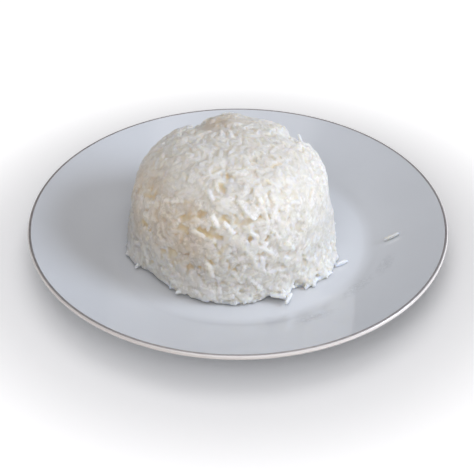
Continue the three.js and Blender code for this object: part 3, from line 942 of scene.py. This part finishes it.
def stray_rods(count):
    """Middles and directions of grains strewn over the skin."""
    middle, way = bowl_points(count)
    out = outside_bowl(middle)[0]
    middle += way * (rng.uniform(*STRAY_DEPTH, count) - out)[:, None]
    along = combed(middle, way) + STRAY_OFF_STROKE * unit(rng.normal(size=(count, 3)))
    along = unit(along - dot(along, way)[:, None] * way)
    steep = np.clip(STRAY_STEEP_LOW - middle[:, 2] / MOUND_HEIGHT, STRAY_STEEP_LEAST, 1.0)
    along = unit(along + way * (rng.uniform(*STRAY_RISE, count) * steep)[:, None])
    on_top = np.clip((middle[:, 2] - TOP_FROM) / (TOP_FULL - TOP_FROM), 0, 1)
    wanted = STRAY_WANTED - FEWER_ON_TOP * on_top - FEWER_IN_HAZE * spots(middle, HAZES)
    keep = (middle[:, 2] > STRAY_ABOVE) & (rng.random(count) < wanted)
    keep &= gap_share(middle, GAP_MARGIN) < GAP_FREE
    return middle[keep], along[keep]


# %% [markdown]
# The mound frayed round the foot as the bowl was lifted, so a ring of grains lies there, each
# roughly along the edge. On the front left the edge hangs a little over the plate, as it does in
# the photograph, and its grains are lifted with it.

# %% Frayed grains round the foot
FRAY_COUNT = 52
FRAY_UNEVEN = 0.05  # unevenness of their spacing, radians
FRAY_START = (2.0, 1.25)  # where they start: distance inside the bowl's edge, and height
FRAY_SUNK = (0.0, 1.4)
FRAY_HEIGHTS = (1.1, 3.0)
FRAY_TURN = 0.55  # spread of their heading about the edge's own, radians
FRAY_RISE = (-0.02, 0.25)
LIFTED_AT = 232  # azimuth of the front left, degrees
LIFTED_REACH = 26
LIFT = 1.6


def frayed_rods(count):
    """Middles and directions of the frayed grains round the foot."""
    azimuth = np.linspace(0, 2 * math.pi, count, endpoint=False)
    azimuth = azimuth + rng.uniform(-FRAY_UNEVEN, FRAY_UNEVEN, count)
    outwards = np.stack([np.cos(azimuth), np.sin(azimuth), np.zeros(count)], -1)
    middle = outwards * (MOUND_RADIUS - FRAY_START[0]) + (0, 0, FRAY_START[1])
    out, way = outside_bowl(middle)
    middle -= way * (out + rng.uniform(*FRAY_SUNK, count))[:, None]
    lifted = np.exp(-(((np.degrees(azimuth) - LIFTED_AT) / LIFTED_REACH) ** 2))
    middle[:, 2] = rng.uniform(*FRAY_HEIGHTS, count) + LIFT * lifted
    heading = azimuth + math.pi / 2 + rng.normal(0, FRAY_TURN, count)
    along = np.stack([np.cos(heading), np.sin(heading), rng.uniform(*FRAY_RISE, count)], -1)
    return middle, unit(along)


# %% [markdown]
# Two grains that would cross are never both kept, and those placed by eye come first in the list,
# so they always stay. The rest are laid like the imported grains, but whole and not pressed flat.

# %% Lay the grains on top
APART = 2.8
TOP_LENGTH = (6.2, 8.8)
TOP_RADIUS = (1.08, 1.28)


def rods_apart(middle, along, gap):
    """Drops every rod whose middle is too close to one before it, so that no two cross."""
    kept = []
    for k in range(len(middle)):
        if not kept or np.linalg.norm(middle[kept] - middle[k], axis=1).min() > gap:
            kept.append(k)
    return middle[kept], along[kept]


groups = [standing_rods(), seen_rods(), frayed_rods(FRAY_COUNT), stray_rods(STRAY_COUNT)]
middle, along = rods_apart(np.vstack([g[0] for g in groups]), np.vstack([g[1] for g in groups]), APART)
top_length = rng.uniform(*TOP_LENGTH, len(middle))
top_radius = rng.uniform(*TOP_RADIUS, len(middle))
half = (top_length / 2 - top_radius)[:, None]
grains.append(lay_grains(
    "stray_grains", whole_grains, middle - along * half, middle + along * half, top_radius,
    pressed=False,
))
print("on top", len(middle), "grains")

# %% [markdown]
# Steamed rice sticks together: neighbours share a film of starch that rounds off every crevice.
# Grains left as separate shells look dry and hard, like plaster beads. So all of them are joined,
# remeshed into one skin by the Remesh modifier at under half a millimetre, smoothed a little, and
# thinned to a size that is quick to draw.

# %% Fuse the grains
VOXEL = 0.45
SMOOTHING = 2  # rounds
SMOOTH_SHARE = 0.5
FACE_BUDGET = 195000
nothing_selected()
for piece in grains + [paste]:
    piece.select_set(True)
bpy.context.view_layer.objects.active = paste
bpy.ops.object.join()
rice = bpy.context.object
rice.name = "fused_rice"

source = vertex_places(rice)
tones_and_painted_light = np.zeros(len(source))
rice.data.attributes["tone_and_painted_light"].data.foreach_get("value", tones_and_painted_light)
shaped_by(rice, "REMESH", mode="VOXEL", voxel_size=VOXEL * MM, adaptivity=0, use_smooth_shade=True)
shaped_by(rice, "SMOOTH", factor=SMOOTH_SHARE, iterations=SMOOTHING)
shaped_by(rice, "DECIMATE", ratio=min(1.0, FACE_BUDGET / (2 * len(rice.data.polygons))))
bpy.ops.object.shade_smooth()
print("fused rice", len(rice.data.vertices), "vertices", len(rice.data.polygons), "faces")

# %% [markdown]
# Thinning can flatten a trapped speck until only two faces are left of it, back to back on the same
# three corners. Blender calls a mesh with such faces not valid, and validating it drops one of each
# two. The other then has open edges, the only ones in a closed skin, so it is found by them and
# deleted. Merging vertices by distance would close the slits between the grains as well.

# %% Clear away stray faces
with_specks = len(rice.data.vertices)
rice.data.validate()
bpy.ops.object.mode_set(mode="EDIT")
bpy.ops.mesh.select_mode(type="VERT")
bpy.ops.mesh.select_all(action="DESELECT")
bpy.ops.mesh.select_non_manifold(
    extend=False, use_wire=False, use_multi_face=False, use_non_contiguous=False, use_verts=False
)
bpy.ops.mesh.delete(type="VERT")
bpy.ops.object.mode_set(mode="OBJECT")
print("cleared", with_specks - len(rice.data.vertices), "vertices of stray faces")

# %% [markdown]
# Remeshing drops what was stored on the vertices, so it is worked out again. Each new vertex takes
# the tone of the nearest old one, with its painted light or shade. Its depth under the skin comes
# from the formula, and deep spots are painted darker as shade between the grains. Two more values
# say where light gets trapped between grains and comes out the colour of straw, and where the
# shaded side of the mound is painted warmer and darker, as painted shade. An image texture could
# hold all four, but it would need the skin unwrapped, and fused rice has no seams to cut along.

# %% Values for the material
PIT_GLOW = 1.5  # how much wider than a pit its straw colour reaches
PIT_WARMTH = 0.8
GAP_GLOW = 1.7
# Where the mound's shaded side is painted warmer and darker: painted shade, as from light gone through
# rice.
SHADED_SIDES_PAINTED_WARM = [  # place and reach in mm, from the mound's foot
    (-52, -8, 42, 14.0), (-44, -22, 50, 12.0), (-50, -20, 30, 13.0), (-38, -38, 38, 15.0),
    (-24, -46, 32, 14.0), (-22, -44, 46, 9.0), (-10, 22, 62, 12.0),
]


def warmth(points):
    """How much straw-coloured light comes out at each point, from 0 to 1."""
    wide = spots(points, [(x, y, z, reach * PIT_GLOW) for x, y, z, reach in PITS])
    return np.maximum(PIT_WARMTH * wide, gap_share(points, GAP_GLOW))


finder = KDTree(len(source))
for k, co in enumerate(source):
    finder.insert(co, k)
finder.balance()
here = vertex_places(rice)
nearest = np.array([finder.find(co)[1] for co in here])
from_foot = here / MM - MOUND_CENTRE
values_here = {
    "tone_and_painted_light": tones_and_painted_light[nearest],
    "pit": -outside_bowl(from_foot)[0],
    "warm": warmth(from_foot),
    "side_shade": spots(from_foot, SHADED_SIDES_PAINTED_WARM),
}
keep_on_vertices(rice.data, values_here)
for field, values in values_here.items():
    print(field, round(float(values.min()), 2), "to", round(float(values.max()), 2))

# %% [markdown]
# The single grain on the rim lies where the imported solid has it. The solid gives its place, its
# heading and its size: the longest way through its vertices is the way it lies. The same hand-made
# grain is used, but alone on white porcelain it is seen far more closely than any other, so it is
# subdivided once for a rounder outline.

# %% Model the grain on the rim
RIM_GRAIN_BEND = 16  # degrees
RIM_GRAIN_VALUES = {"tone_and_painted_light": 0.1, "pit": 0.3, "warm": 0.0, "side_shade": 0.0}
solid = vertex_places(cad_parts["loose_grain"]) / MM
centre = (solid.min(0) + solid.max(0)) / 2
longest = np.linalg.svd(solid - solid.mean(0))[2][0]
lying = longest * np.sign(longest[0])
upright = np.cross(lying, (0, 1, 0))
upright = upright * np.sign(upright[2]) / np.linalg.norm(upright)
sideways = np.cross(upright, lying)
half_size = [np.ptp((solid - centre) @ way) / 2 for way in (lying, sideways, upright)]
print("grain on the rim", [round(2 * float(h), 2) for h in half_size], "mm")

loose_grain = model_grain("rim_grain", WHOLE, RIM_GRAIN_BEND)
bpy.ops.object.mode_set(mode="EDIT")
bpy.ops.mesh.select_all(action="SELECT")
bpy.ops.mesh.subdivide(number_cuts=1, smoothness=1.0)
bpy.ops.object.mode_set(mode="OBJECT")
bpy.ops.object.shade_smooth()
shape = vertex_places(loose_grain)
shape = (shape - (shape.min(0) + shape.max(0)) / 2) / ((shape.max(0) - shape.min(0)) / 2)
place_vertices(loose_grain, centre + (shape * half_size) @ np.stack([lying, sideways, upright]))
keep_on_vertices(
    loose_grain.data, {field: np.full(len(shape), value) for field, value in RIM_GRAIN_VALUES.items()}
)

# %% [markdown]
# Materials come next. Colours are picked as screen colours, as in any paint program, and a shader
# wants them as linear light. Patterns are given by their real size in millimetres, and every
# material is built from nodes that one small function adds and links. A Mix node has sockets for
# every kind of value under one name, so they are given by number: 0 is the share, 6 and 7 are its
# two colours, and 2 and 3 its two numbers. Its output for a colour is number 2.

# %% Helpers for materials
def linear(hex_colour):
    """A screen colour as the linear red, green, blue and alpha that a shader wants."""
    screen = [int(hex_colour[i:i + 2], 16) / 255 for i in (1, 3, 5)]
    return [c / 12.92 if c <= 0.04045 else ((c + 0.055) / 1.055) ** 2.4 for c in screen] + [1.0]


def scale_for(size):
    """The noise scale whose bumps are about size mm across, in object coordinates."""
    return 1 / (size * MM)


def node(tree, kind, inputs=None, **settings):
    """Adds one node. An input is given by name or number, as a value or as another node's output."""
    made = tree.nodes.new(kind)
    for name, value in settings.items():
        setattr(made, name, value)
    for name, value in (inputs or {}).items():
        if isinstance(value, bpy.types.NodeSocket):
            tree.links.new(value, made.inputs[name])
        else:
            made.inputs[name].default_value = value
    return made


def new_material(name):
    """An empty material and its node tree."""
    material = bpy.data.materials.new(name)
    material.use_nodes = True
    material.node_tree.nodes.clear()
    return material, material.node_tree


def set_ramp(ramp, stops):
    """Gives a colour ramp its two stops, each a place and a screen colour."""
    for element, (place_on_ramp, colour) in zip(ramp.color_ramp.elements, stops):
        element.position = place_on_ramp
        element.color = linear(colour)


print("white as linear light", linear("#FFFFFF"))

# %% [markdown]
# The plate is hard white porcelain, dipped in clear glaze and fired. What it gives the eye is an
# even, slightly cool white, and a gloss whose reflections wander a little, because the glaze ran
# before it set. One flat white with a low roughness would look like plastic. Here a slow cloud in
# the white stands for the body under the glaze, wear makes the gloss uneven, and very shallow waves
# bend the highlights. Towards the lip the white is painted lighter and warmer. Part of that is the
# warmer body showing where the glaze ran thin, and part is a painted reflection of the bright room.

# %% Glazed porcelain
CLOUD_SIZE = 45.0  # mm, as is every size below
WEAR_SIZE = 11.0
WAVE_SIZE = 28.5
WAVE_HEIGHT = 0.3
WAVE_SHOWS = 0.25  # share of that height which bends the light
GLAZE_IOR = 1.5
GLAZE_ROUGHNESS = (0.07, 0.16)
# The lip's band: warmer body under thin glaze, and a painted reflection of the bright room.
LIP_SHEEN_FADE = (1.3, 0.4)  # from the outermost edge inwards, where the glaze runs thin
porcelain, tree = new_material("porcelain_with_fired_clear_glaze")
place = node(tree, "ShaderNodeTexCoord").outputs["Object"]
cloud = node(
    tree, "ShaderNodeTexNoise", {"Vector": place, "Scale": scale_for(CLOUD_SIZE), "Detail": 3.0}
)
body = node(tree, "ShaderNodeValToRGB", {"Fac": cloud.outputs["Fac"]})
set_ramp(body, ((0.3, "#CBCDD0"), (0.7, "#CFD1D4")))
wear = node(
    tree, "ShaderNodeTexNoise", {"Vector": place, "Scale": scale_for(WEAR_SIZE), "Detail": 4.0}
)
gloss = node(
    tree, "ShaderNodeMapRange",
    {"Value": wear.outputs["Fac"], "To Min": GLAZE_ROUGHNESS[0], "To Max": GLAZE_ROUGHNESS[1]},
)
flat_place = node(
    tree, "ShaderNodeVectorMath", {0: place, 1: (1, 1, 0)}, operation="MULTIPLY"
).outputs[0]
from_axis = node(tree, "ShaderNodeVectorMath", {0: flat_place}, operation="LENGTH").outputs["Value"]
lip_sheen_and_thin_glaze = node(
    tree, "ShaderNodeMapRange",
    {"Value": from_axis, "From Min": (PLATE_RADIUS - LIP_SHEEN_FADE[0]) * MM,
     "From Max": (PLATE_RADIUS - LIP_SHEEN_FADE[1]) * MM},
)
# Towards the edge the white turns lighter and warmer: partly thin glaze, partly painted reflection.
white = node(
    tree, "ShaderNodeMix", {0: lip_sheen_and_thin_glaze.outputs[0], 6: body.outputs[0], 7: linear("#DCD5D0")},
    data_type="RGBA",
)
swirl = node(
    tree, "ShaderNodeTexNoise", {"Vector": place, "Scale": scale_for(WAVE_SIZE), "Detail": 1.0}
)
wavy = node(
    tree, "ShaderNodeBump",
    {"Height": swirl.outputs["Fac"], "Strength": WAVE_SHOWS, "Distance": WAVE_HEIGHT * MM},
)
print("waves in the glaze", WAVE_SIZE, "mm long")

# %% [markdown]
# Between the mound and the loose grain the rim isn't quite clean: wet rice touched it and left a
# film of starch. Dried, it gives the eye a slightly darker and duller patch with broken edges. Each
# patch is an oval drawn in the plate's own coordinates, cut up by a fine noise, and it changes both
# the colour and the gloss. Painting it into an image would tie it to a resolution.

# %% Starch smeared on the rim
SMEARS = [  # place in mm, heading in degrees, half length and half width in mm
    (38.5, -73.0, 24, 15.0, 4.4), (62.0, -48.0, 48, 15.0, 5.0), (78.0, -32.0, 62, 12.0, 4.4),
]
SMEAR_FADE = (1.0, 0.2)  # shares of an oval's radius between which its film comes up
STREAK_SIZE = 2.4
STREAK_CUT = (0.36, 0.66)  # values of the streaks between which the film comes up
DULL_ROUGHNESS = 0.45
film = None
for x, y, heading, half_length, half_width in SMEARS:
    oval = node(
        tree, "ShaderNodeMapping",
        {"Vector": flat_place, "Location": (x * MM, y * MM, 0),
         "Rotation": (0, 0, math.radians(heading)), "Scale": (half_length * MM, half_width * MM, 1)},
        vector_type="TEXTURE",
    )
    far = node(tree, "ShaderNodeVectorMath", {0: oval.outputs[0]}, operation="LENGTH").outputs["Value"]
    share = node(
        tree, "ShaderNodeMapRange",
        {"Value": far, "From Min": SMEAR_FADE[0], "From Max": SMEAR_FADE[1]},
    ).outputs[0]
    if film is not None:
        share = node(tree, "ShaderNodeMath", {0: film, 1: share}, operation="MAXIMUM").outputs[0]
    film = share
streaks = node(
    tree, "ShaderNodeTexNoise", {"Vector": place, "Scale": scale_for(STREAK_SIZE), "Detail": 2.0}
)
patchy = node(
    tree, "ShaderNodeMapRange",
    {"Value": streaks.outputs["Fac"], "From Min": STREAK_CUT[0], "From Max": STREAK_CUT[1]},
)
starch = node(tree, "ShaderNodeMath", {0: film, 1: patchy.outputs[0]}, operation="MULTIPLY").outputs[0]
tint = node(
    tree, "ShaderNodeMix", {0: starch, 6: white.outputs[2], 7: linear("#BABCBF")}, data_type="RGBA"
)
dull = node(tree, "ShaderNodeMix", {0: starch, 2: gloss.outputs[0], 3: DULL_ROUGHNESS})
shader = node(
    tree, "ShaderNodeBsdfPrincipled",
    {"Base Color": tint.outputs[2], "Roughness": dull.outputs[0], "IOR": GLAZE_IOR,
     "Normal": wavy.outputs[0]},
)
node(tree, "ShaderNodeOutputMaterial", {"Surface": shader.outputs[0]})
plate.data.materials.append(porcelain)
print(porcelain.name, len(tree.nodes), "nodes")

# %% [markdown]
# A thin grey line runs round the top of the lip. On the real plate it is a metal lustre, laid on
# with a brush while the plate turns, and fired at a low heat. It has no thickness, so it is a finish
# and not a piece of its own. What it gives the eye is a soft grey that is lighter where it faces the
# light, rubbed unevenly by washing. The section has points at both edges of the line, so its faces
# only need this second material, and the edge stays sharp at any distance.

# %% Painted line on the lip
RUBBED_SIZE = 3.8
LUSTRE_METALLIC = 0.5  # a film of metal this thin lets half of the glaze show
LUSTRE_ROUGHNESS = 0.4
NEAR_TOP = 1  # the line's faces lie this close to the plate's full height, mm
SLACK = 0.1  # mm
lustre, tree = new_material("platinum_lustre_brushed_on_and_fired")
place = node(tree, "ShaderNodeTexCoord").outputs["Object"]
rubbed = node(
    tree, "ShaderNodeTexNoise", {"Vector": place, "Scale": scale_for(RUBBED_SIZE), "Detail": 3.0}
)
metal = node(tree, "ShaderNodeValToRGB", {"Fac": rubbed.outputs["Fac"]})
set_ramp(metal, ((0.35, "#9E9897"), (0.7, "#B0AAA8")))
shader = node(
    tree, "ShaderNodeBsdfPrincipled",
    {"Base Color": metal.outputs[0], "Metallic": LUSTRE_METALLIC, "Roughness": LUSTRE_ROUGHNESS},
)
node(tree, "ShaderNodeOutputMaterial", {"Surface": shader.outputs[0]})
plate.data.materials.append(lustre)
line_out = lip_arc(LINE_FROM, 90, 1)[0][0]
lip_top = (PLATE_RADIUS - LIP_RADIUS, PLATE_HEIGHT)
line_in = bend(lip_top, RIM_BEND, VERGE, RIM_STEPS)[0][0]
painted = 0
for face in plate.data.polygons:
    x, y, z = (c / MM for c in face.center)
    if z > PLATE_HEIGHT - NEAR_TOP and line_in - SLACK < math.hypot(x, y) < line_out:
        face.material_index = 1
        painted += 1
print("line from", round(line_in, 1), "to", round(line_out, 1), "mm,", painted, "faces")

# %% [markdown]
# Cooked rice is starch swollen with water: white, translucent, with a moist sheen. What it gives
# the eye is light that has wandered a few millimetres through the grains before it comes out, which
# softens every shadow between them. Subsurface scattering does that: red light goes farthest, so
# deep places look warm. A plain white diffuse would look like chalk. The base colour is mixed from
# how pale each grain is, with painted light on the grains on top and painted shade on the pressed
# ones, a fine mottle in its flesh, painted shade where a spot lies deep between the grains, painted
# warm shade on the mound's shaded side, and painted straw-coloured light where light comes out
# through other grains.

# %% Steamed rice
MOTTLE_SIZE = 1.9
PORE_SIZE = 0.9  # the pores of a real grain's skin are finer: drawn coarser, so that they show
PORE_HEIGHT = 0.4
PORE_SHOWS = 0.12  # share of that height which bends the light
TONE_SHARE = 0.5  # how much of the paleness is each grain's own, and how much the mottle's
MOTTLE_SHARE = 0.35
# Spots between these depths are painted darker and warmer: painted shade between the grains.
DEEP_FROM = 0.15  # depths under the skin between which a spot counts as deep
DEEP_TO = 1.4
# The shaded side is painted warmer and darker; this share of that painted shade reaches even grain tops.
SIDE_SHADE_ON_TOP = 0.7  # share of a warm side's tint that even the backs of its grains take
RICE_IOR = 1.38  # mostly water
RICE_ROUGHNESS = (0.36, 0.6)
SCATTER = 9.5  # how far red light wanders inside
SCATTER_COLOURS = (1.0, 0.85, 0.6)  # how far red, green and blue wander, as shares of that
cooked, tree = new_material("long_grain_rice_steamed_and_pressed")
place = node(tree, "ShaderNodeTexCoord").outputs["Object"]
tone_and_painted_light, pit, warm, side_shade = (
    node(tree, "ShaderNodeAttribute", attribute_name=field).outputs["Fac"]
    for field in ("tone_and_painted_light", "pit", "warm", "side_shade")
)
mottle = node(
    tree, "ShaderNodeTexNoise", {"Vector": place, "Scale": scale_for(MOTTLE_SIZE), "Detail": 3.0}
)
# Each grain's tone holds painted light on the grains on top and painted shade on the pressed ones.
own_tone_and_painted_light = node(tree, "ShaderNodeMath", {0: tone_and_painted_light, 1: TONE_SHARE}, operation="MULTIPLY").outputs[0]
pale_and_painted_light = node(
    tree, "ShaderNodeMath", {0: mottle.outputs["Fac"], 1: MOTTLE_SHARE, 2: own_tone_and_painted_light},
    operation="MULTIPLY_ADD",
).outputs[0]
flesh_and_painted_light = node(tree, "ShaderNodeValToRGB", {"Fac": pale_and_painted_light})
set_ramp(flesh_and_painted_light, ((0.0, "#C5C0B6"), (0.58, "#E5E2DC")))
# Painted shade: the deeper a spot lies between the grains, the darker and warmer its colour.
depth_for_painted_light_and_shade = node(
    tree, "ShaderNodeMapRange", {"Value": pit, "From Min": DEEP_FROM, "From Max": DEEP_TO}
).outputs[0]
painted_crevice_shade = node(
    tree, "ShaderNodeMix", {0: depth_for_painted_light_and_shade, 6: flesh_and_painted_light.outputs[0], 7: linear("#DAD2C2")}, data_type="RGBA"
)
deep_part = node(
    tree, "ShaderNodeMath", {0: depth_for_painted_light_and_shade, 1: 1 - SIDE_SHADE_ON_TOP, 2: SIDE_SHADE_ON_TOP}, operation="MULTIPLY_ADD"
).outputs[0]
# Painted shade on the mound's shaded side: its colour is multiplied warmer and darker.
side_shade_share = node(tree, "ShaderNodeMath", {0: side_shade, 1: deep_part}, operation="MULTIPLY").outputs[0]
painted_side_shade = node(
    tree, "ShaderNodeMix", {0: side_shade_share, 6: painted_crevice_shade.outputs[2], 7: linear("#ECDCCB")}, data_type="RGBA",
    blend_type="MULTIPLY",
)
trapped = node(tree, "ShaderNodeMath", {0: warm, 1: depth_for_painted_light_and_shade}, operation="MULTIPLY").outputs[0]
straw = node(
    tree, "ShaderNodeMix", {0: trapped, 6: painted_side_shade.outputs[2], 7: linear("#E0D0AB")}, data_type="RGBA"
)
pores = node(
    tree, "ShaderNodeTexNoise", {"Vector": place, "Scale": scale_for(PORE_SIZE), "Detail": 2.0}
)
skin = node(
    tree, "ShaderNodeBump",
    {"Height": pores.outputs["Fac"], "Strength": PORE_SHOWS, "Distance": PORE_HEIGHT * MM},
)
moist = node(
    tree, "ShaderNodeMapRange",
    {"Value": mottle.outputs["Fac"], "To Min": RICE_ROUGHNESS[0], "To Max": RICE_ROUGHNESS[1]},
)
shader = node(
    tree, "ShaderNodeBsdfPrincipled",
    {"Base Color": straw.outputs[2], "Roughness": moist.outputs[0], "IOR": RICE_IOR,
     "Normal": skin.outputs[0], "Subsurface Weight": 1.0, "Subsurface Scale": SCATTER * MM,
     "Subsurface Radius": SCATTER_COLOURS},
)
node(tree, "ShaderNodeOutputMaterial", {"Surface": shader.outputs[0]})
rice.data.materials.append(cooked)
loose_grain.data.materials.append(cooked)
print(cooked.name, len(tree.nodes), "nodes")

# %% [markdown]
# The table in the photograph is a matt white surface that fades into white. It gives the eye only
# the plate's soft shadow, so it is a rough white. Round the plate it gets a light of its own that
# grows with the distance. It stands for the bright room: lamps near enough to light the plate softly
# would leave the far end of the table grey.

# %% Floor's finish
PLATE_EDGE = 0.114  # distances from the plate's middle, metres
SHADOW_EDGE = 0.185
ROOM_EDGE = 1.0
GLOW_RINGS = (  # where each ring of added light starts and is full, and how much it adds
    (PLATE_EDGE, SHADOW_EDGE, 0.5), (SHADOW_EDGE, ROOM_EDGE, 0.45),
)
TABLE_ROUGHNESS = 0.9
backdrop, tree = new_material("table_painted_matt_white")
place = node(tree, "ShaderNodeTexCoord").outputs["Object"]
far = node(tree, "ShaderNodeVectorMath", {0: place}, operation="LENGTH").outputs["Value"]
near_glow, far_glow = (
    node(
        tree, "ShaderNodeMapRange",
        {"Value": far, "From Min": start, "From Max": end, "To Min": 0.0, "To Max": light},
    ).outputs[0]
    for start, end, light in GLOW_RINGS
)
glow = node(tree, "ShaderNodeMath", {0: near_glow, 1: far_glow}, operation="ADD").outputs[0]
shader = node(
    tree, "ShaderNodeBsdfPrincipled",
    {"Base Color": linear("#FFFFFF"), "Roughness": TABLE_ROUGHNESS,
     "Emission Color": linear("#FFFFFF"), "Emission Strength": glow},
)
node(tree, "ShaderNodeOutputMaterial", {"Surface": shader.outputs[0]})
floor.data.materials.append(backdrop)
print(backdrop.name, len(tree.nodes), "nodes")

# %% [markdown]
# A faint world colour fills what no lamp reaches. Over the far end of the table the camera would
# see that faint colour as a dark wall, and the photograph has a bright one, so what is seen
# directly is brighter than what lights the part. A Light Path node tells the two apart.

# %% The room
WORLD_STRENGTH = 0.09  # what it gives the plate and the rice
WALL_STRENGTH = 1.0  # what is seen of it over the end of the table
world = bpy.data.worlds.new("studio")
bpy.context.scene.world = world
world.use_nodes = True
background = world.node_tree.nodes["Background"]
background.inputs["Color"].default_value = linear("#F6F4F0")
seen_directly = node(world.node_tree, "ShaderNodeLightPath").outputs["Is Camera Ray"]
strength = node(
    world.node_tree, "ShaderNodeMapRange",
    {"Value": seen_directly, "To Min": WORLD_STRENGTH, "To Max": WALL_STRENGTH},
)
world.node_tree.links.new(strength.outputs[0], background.inputs["Strength"])
print("room", WORLD_STRENGTH, "for lighting,", WALL_STRENGTH, "for looking at")

# %% [markdown]
# The photograph is lit by a large cool source, low on the right: the right side of the mound is
# bright and the left is a warm grey. The light of a white room comes back from the ceiling and from
# the diner's side, a little less blue. Large discs give the soft-edged shadows. A single studio
# world could not be brighter on one side. The shadow in the photograph is a soft ring all round the
# plate and not one to the left, so the window lamp lights the plate and the rice but not the table.
# Light linking does that.

# %% Lamps
LIGHT_DISTANCE = 1.4  # metres


def area_light(name, azimuth, elevation, size, power, colour):
    """A round lamp that looks at the plate; angles in degrees, its width in metres."""
    data = bpy.data.lights.new(name, "AREA")
    data.shape = "DISK"
    data.size = size
    data.energy = power
    data.color = linear(colour)[:3]
    lamp = bpy.data.objects.new(name, data)
    a, e = math.radians(azimuth), math.radians(elevation)
    way = Vector((math.cos(a) * math.cos(e), math.sin(a) * math.cos(e), math.sin(e)))
    lamp.location = way * LIGHT_DISTANCE
    lamp.rotation_euler = way.to_track_quat("Z", "Y").to_euler()
    bpy.context.scene.collection.objects.link(lamp)
    print(name, "lamp", power, "watts")
    return lamp


window = area_light("window", -9, 29, 0.75, 15.5, "#E5EEFD")
area_light("ceiling", 0, 88, 1.4, 7.7, "#FBFAFD")
area_light("fill", -95, 45, 1.2, 7.6, "#FBFBFF")
bpy.context.scene.view_settings.view_transform = "Standard"
off_table = bpy.data.collections.new("not_lit_by_the_window")
off_table.objects.link(floor)
off_table.collection_objects[0].light_linking.link_state = "EXCLUDE"
window.light_linking.receiver_collection = off_table

# %% [markdown]
# Each dressed piece now takes the place of its solid. The plate's porcelain and its line replace
# the plate, all of the fused rice replaces the mound, and the rim grain replaces the loose one.

# %% Hand over
dressed = (
    (plate, "plate", "glazed_porcelain"),
    (rice, "rice_mound", "cooked_rice"),
    (loose_grain, "loose_grain", "cooked_rice"),
)
for piece, solid_name, slot in dressed:
    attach(piece, "root")
    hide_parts(solid_name)
    print(piece.name, "replaces", solid_name)
